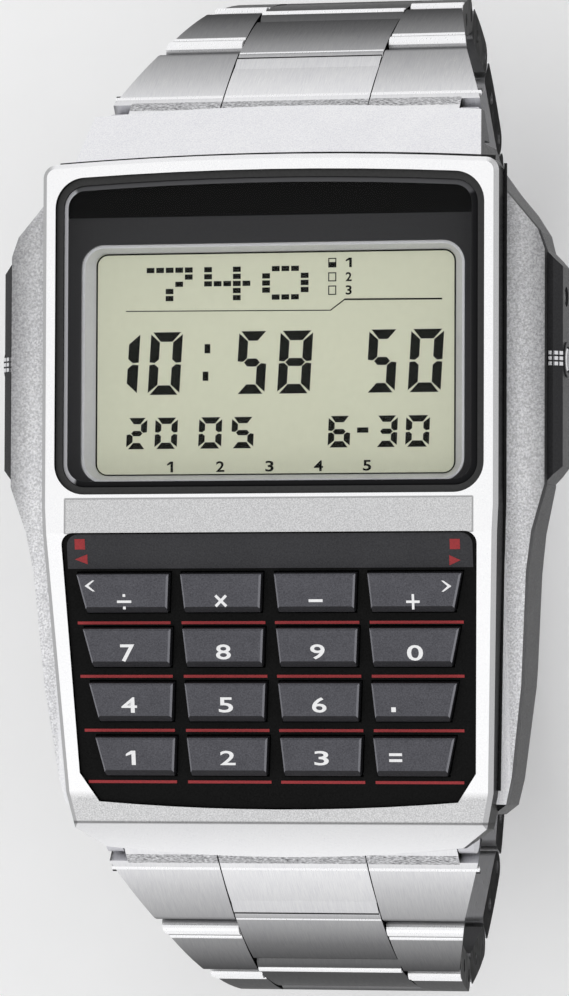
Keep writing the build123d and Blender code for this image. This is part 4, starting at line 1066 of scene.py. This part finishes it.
def rounded(left, right, bottom, top, radius, steps=6):
    """Corners of a rounded rectangle."""
    corners = []
    for x, y, first in (
        (right - radius, top - radius, 0),
        (left + radius, top - radius, 90),
        (left + radius, bottom + radius, 180),
        (right - radius, bottom + radius, 270),
    ):
        for step in range(steps + 1):
            turn = math.radians(first + 90 * step / steps)
            corners.append((x + radius * math.cos(turn), y + radius * math.sin(turn)))
    return corners


# %% Line round the display's window
window_line = bmesh.new()
window_outer = rounded(-12.04, 12.04, 0.11, 14.69, 0.8)
window_inner = rounded(-11.94, 11.94, 0.19, 14.59, 0.7)
band(window_line, window_outer, window_inner, 8.93, 0.03)
finish_piece("window_line", window_line, ink_black, "case")

# %% Painted shadow line at the foot of the bezel
cover_top, cover_end = 9.3, 6.3  # heights of the flanks where they are level and at 6 o'clock
fall_start, fall_end = -0.595, -21.303  # places between which they slope


def cover_height(y):
    """Height of the flanks' top at a place along the case."""
    share = (fall_start - y) / (fall_start - fall_end)
    return cover_top + (cover_end - cover_top) * min(1.0, max(0.0, share))


shadow_line_thick = 0.04
foot_wide = 0.2
foot = bmesh.new()
foot_line = [(15.17, 20.2), (15.17, 10.0), (15.17, 0.0), (15.17, -0.62)]
foot_line += [(15.12, -2.0), (14.9, -6.0), (14.28, -20.4)]
for hand in (1, -1):
    for (x0, y0), (x1, y1) in zip(foot_line, foot_line[1:]):
        z0, z1 = cover_height(y0), cover_height(y1)
        quad = [(x0, y0, z0), (x0 + foot_wide, y0, z0), (x1 + foot_wide, y1, z1), (x1, y1, z1)]
        add_face(foot, [(hand * x, y, z) for x, y, z in quad])
thicken(foot, shadow_line_thick)
finish_piece("bezel_foot_shadow_line", foot, shadow_line_black, "case")

# %% Painted shadow line along the top of the bezel
hood_start, hood_fall, hood_run = 20.6, 3.65, 4.2


def hood_height(y):
    """Height of the hood's top at a place along the case."""
    return cover_top - max(0.0, y - hood_start) * hood_fall / hood_run


top_half, top_wide, top_bow, top_ends_y = 14.6, 0.36, 0.5, 20.4
top_shadow_line = bmesh.new()
parts = 24
for part in range(parts):
    quad = []
    for end, width in ((part, 0.0), (part, top_wide), (part + 1, top_wide), (part + 1, 0.0)):
        aside = 2 * end / parts - 1  # from one end of the bezel's upper edge to the other
        y = top_ends_y + top_bow * (1 - aside * aside) + width
        quad.append((aside * top_half, y, hood_height(y)))
    add_face(top_shadow_line, quad)
thicken(top_shadow_line, shadow_line_thick)
finish_piece("bezel_top_shadow_line", top_shadow_line, shadow_line_black, "case")

# %% [markdown]
# ## The pushers
# Each guard has a silver knurled saddle where its pusher sits, three rows of three small squares, and a
# black collar round the pusher's head. The squares lie on the guard's top and on its bevel.

# %% Knurled saddles
pusher_y, pusher_z = 7.6, 6.4
stud_wide, stud_pitch, stud_high = 0.29, 0.35, 0.13
stud_rows = [((17.9, 8.2), (18.16, 8.2)), ((18.2, 8.2), (18.44, 7.96)), ((18.48, 7.92), (18.72, 7.68))]


def add_stud(mesh_work, corners, lift):
    """A small square that stands out and narrows a little towards its top."""
    tops = extrude_faces(mesh_work, [add_face(mesh_work, corners)])
    bmesh.ops.translate(mesh_work, verts=tops, vec=lift * MM)
    middle = sum((vertex.co for vertex in tops), Vector()) / len(tops)
    for vertex in tops:
        vertex.co = middle + (vertex.co - middle) * 0.8


def make_saddle(name, hand):
    """Three rows of three studs, over the guard's top and its bevel."""
    saddle = bmesh.new()
    for (x0, z0), (x1, z1) in stud_rows:
        outward = Vector((x1 - x0, 0, z1 - z0)).normalized()
        lift = Vector((-outward.z, 0, outward.x)) * stud_high
        for column in range(3):
            y0 = pusher_y - 0.5 + column * stud_pitch
            y1 = y0 + stud_wide
            add_stud(saddle, [(x0, y0, z0), (x1, y0, z1), (x1, y1, z1), (x0, y1, z0)], lift)
    bmesh.ops.scale(saddle, vec=(hand, 1, 1), verts=saddle.verts)
    finish_piece(name + "_saddle", saddle, button_silver, "case")


# %% Collars round the pushers
def make_collar(name, hand):
    """A flat ring on the guard's side."""
    collar = bmesh.new()
    turns = [math.tau * step / 32 for step in range(32)]
    circle = [(math.cos(turn), math.sin(turn)) for turn in turns]
    outer, inner = ([(radius * x, radius * y) for x, y in circle] for radius in (1.15, 0.86))
    band(collar, outer, inner, 0, 0.12)
    seat = Matrix.Translation(Vector((hand * 18.74, pusher_y, pusher_z)) * MM)
    aside = Matrix.Rotation(math.radians(90 * hand), 4, "Y")
    bmesh.ops.transform(collar, matrix=seat @ aside, verts=collar.verts)
    finish_piece(name + "_collar", collar, resin, "case")


for name, hand in (("mode", -1), ("format", 1)):
    make_saddle(name, hand)
    make_collar(name, hand)

# %% [markdown]
# ## Floor, lamps and surroundings
# A product picture is lit by large soft lamps over a pale table. The world is a pale room that is a
# little brighter overhead, which gives the metal its light tops, and two lamps add soft shadows.

# %% Floor
lowest = cad_box[0][2]
floor_mesh = bmesh.new()
bmesh.ops.create_grid(floor_mesh, x_segments=1, y_segments=1, size=3.0)
bmesh.ops.translate(floor_mesh, verts=floor_mesh.verts, vec=(0, 0, lowest))
floor_data = bpy.data.meshes.new("floor")
floor_mesh.to_mesh(floor_data)
floor_mesh.free()
floor = bpy.data.objects.new("floor", floor_data)
bpy.context.scene.collection.objects.link(floor)
floor_paint = surface(
    "floor_paint", (0.93, 0.93, 0.93), (0.91, 0.91, 0.91), (0.85, 0.95), 8.0, 0.01, patches=60.0
)
floor_data.materials.append(floor_paint)
print("floor at", round(lowest / MM, 2), "mm")

# %% World
world = bpy.data.worlds.new("room")
bpy.context.scene.world = world
world.use_nodes = True
background = world.node_tree.nodes["Background"]
background.inputs["Strength"].default_value = 1.0
direction = world.node_tree.nodes.new("ShaderNodeTexCoord")
split = world.node_tree.nodes.new("ShaderNodeSeparateXYZ")
rise = world.node_tree.nodes.new("ShaderNodeValToRGB")
world.node_tree.links.new(direction.outputs["Generated"], split.inputs["Vector"])
world.node_tree.links.new(split.outputs["Z"], rise.inputs["Fac"])
world.node_tree.links.new(rise.outputs["Color"], background.inputs["Color"])
world_shades = [(0.0, (0.88, 0.88, 0.89, 1)), (0.95, (1.0, 1.0, 1.0, 1))]
for element, (height, colour) in zip(rise.color_ramp.elements, world_shades):
    element.position = height
    element.color = colour
print("world", world.name, "from", world_shades[0][1][:3], "up to", world_shades[1][1][:3])


# %% Lamps
def soft_lamp(name, place, size, power):
    """A square lamp that looks at the watch."""
    data = bpy.data.lights.new(name, "AREA")
    data.shape = "SQUARE"
    data.size = size
    data.energy = power
    lamp = bpy.data.objects.new(name, data)
    lamp.location = place
    lamp.rotation_euler = Vector(place).to_track_quat("Z", "Y").to_euler()
    bpy.context.scene.collection.objects.link(lamp)
    print(name, "at", place, "with", power, "W")


soft_lamp("key_lamp", (0.6, 0.45, 0.5), 0.8, 0.5)
soft_lamp("fill_lamp", (-0.35, -0.6, 0.5), 0.8, 0.4)
bpy.context.scene.view_settings.view_transform = "Standard"
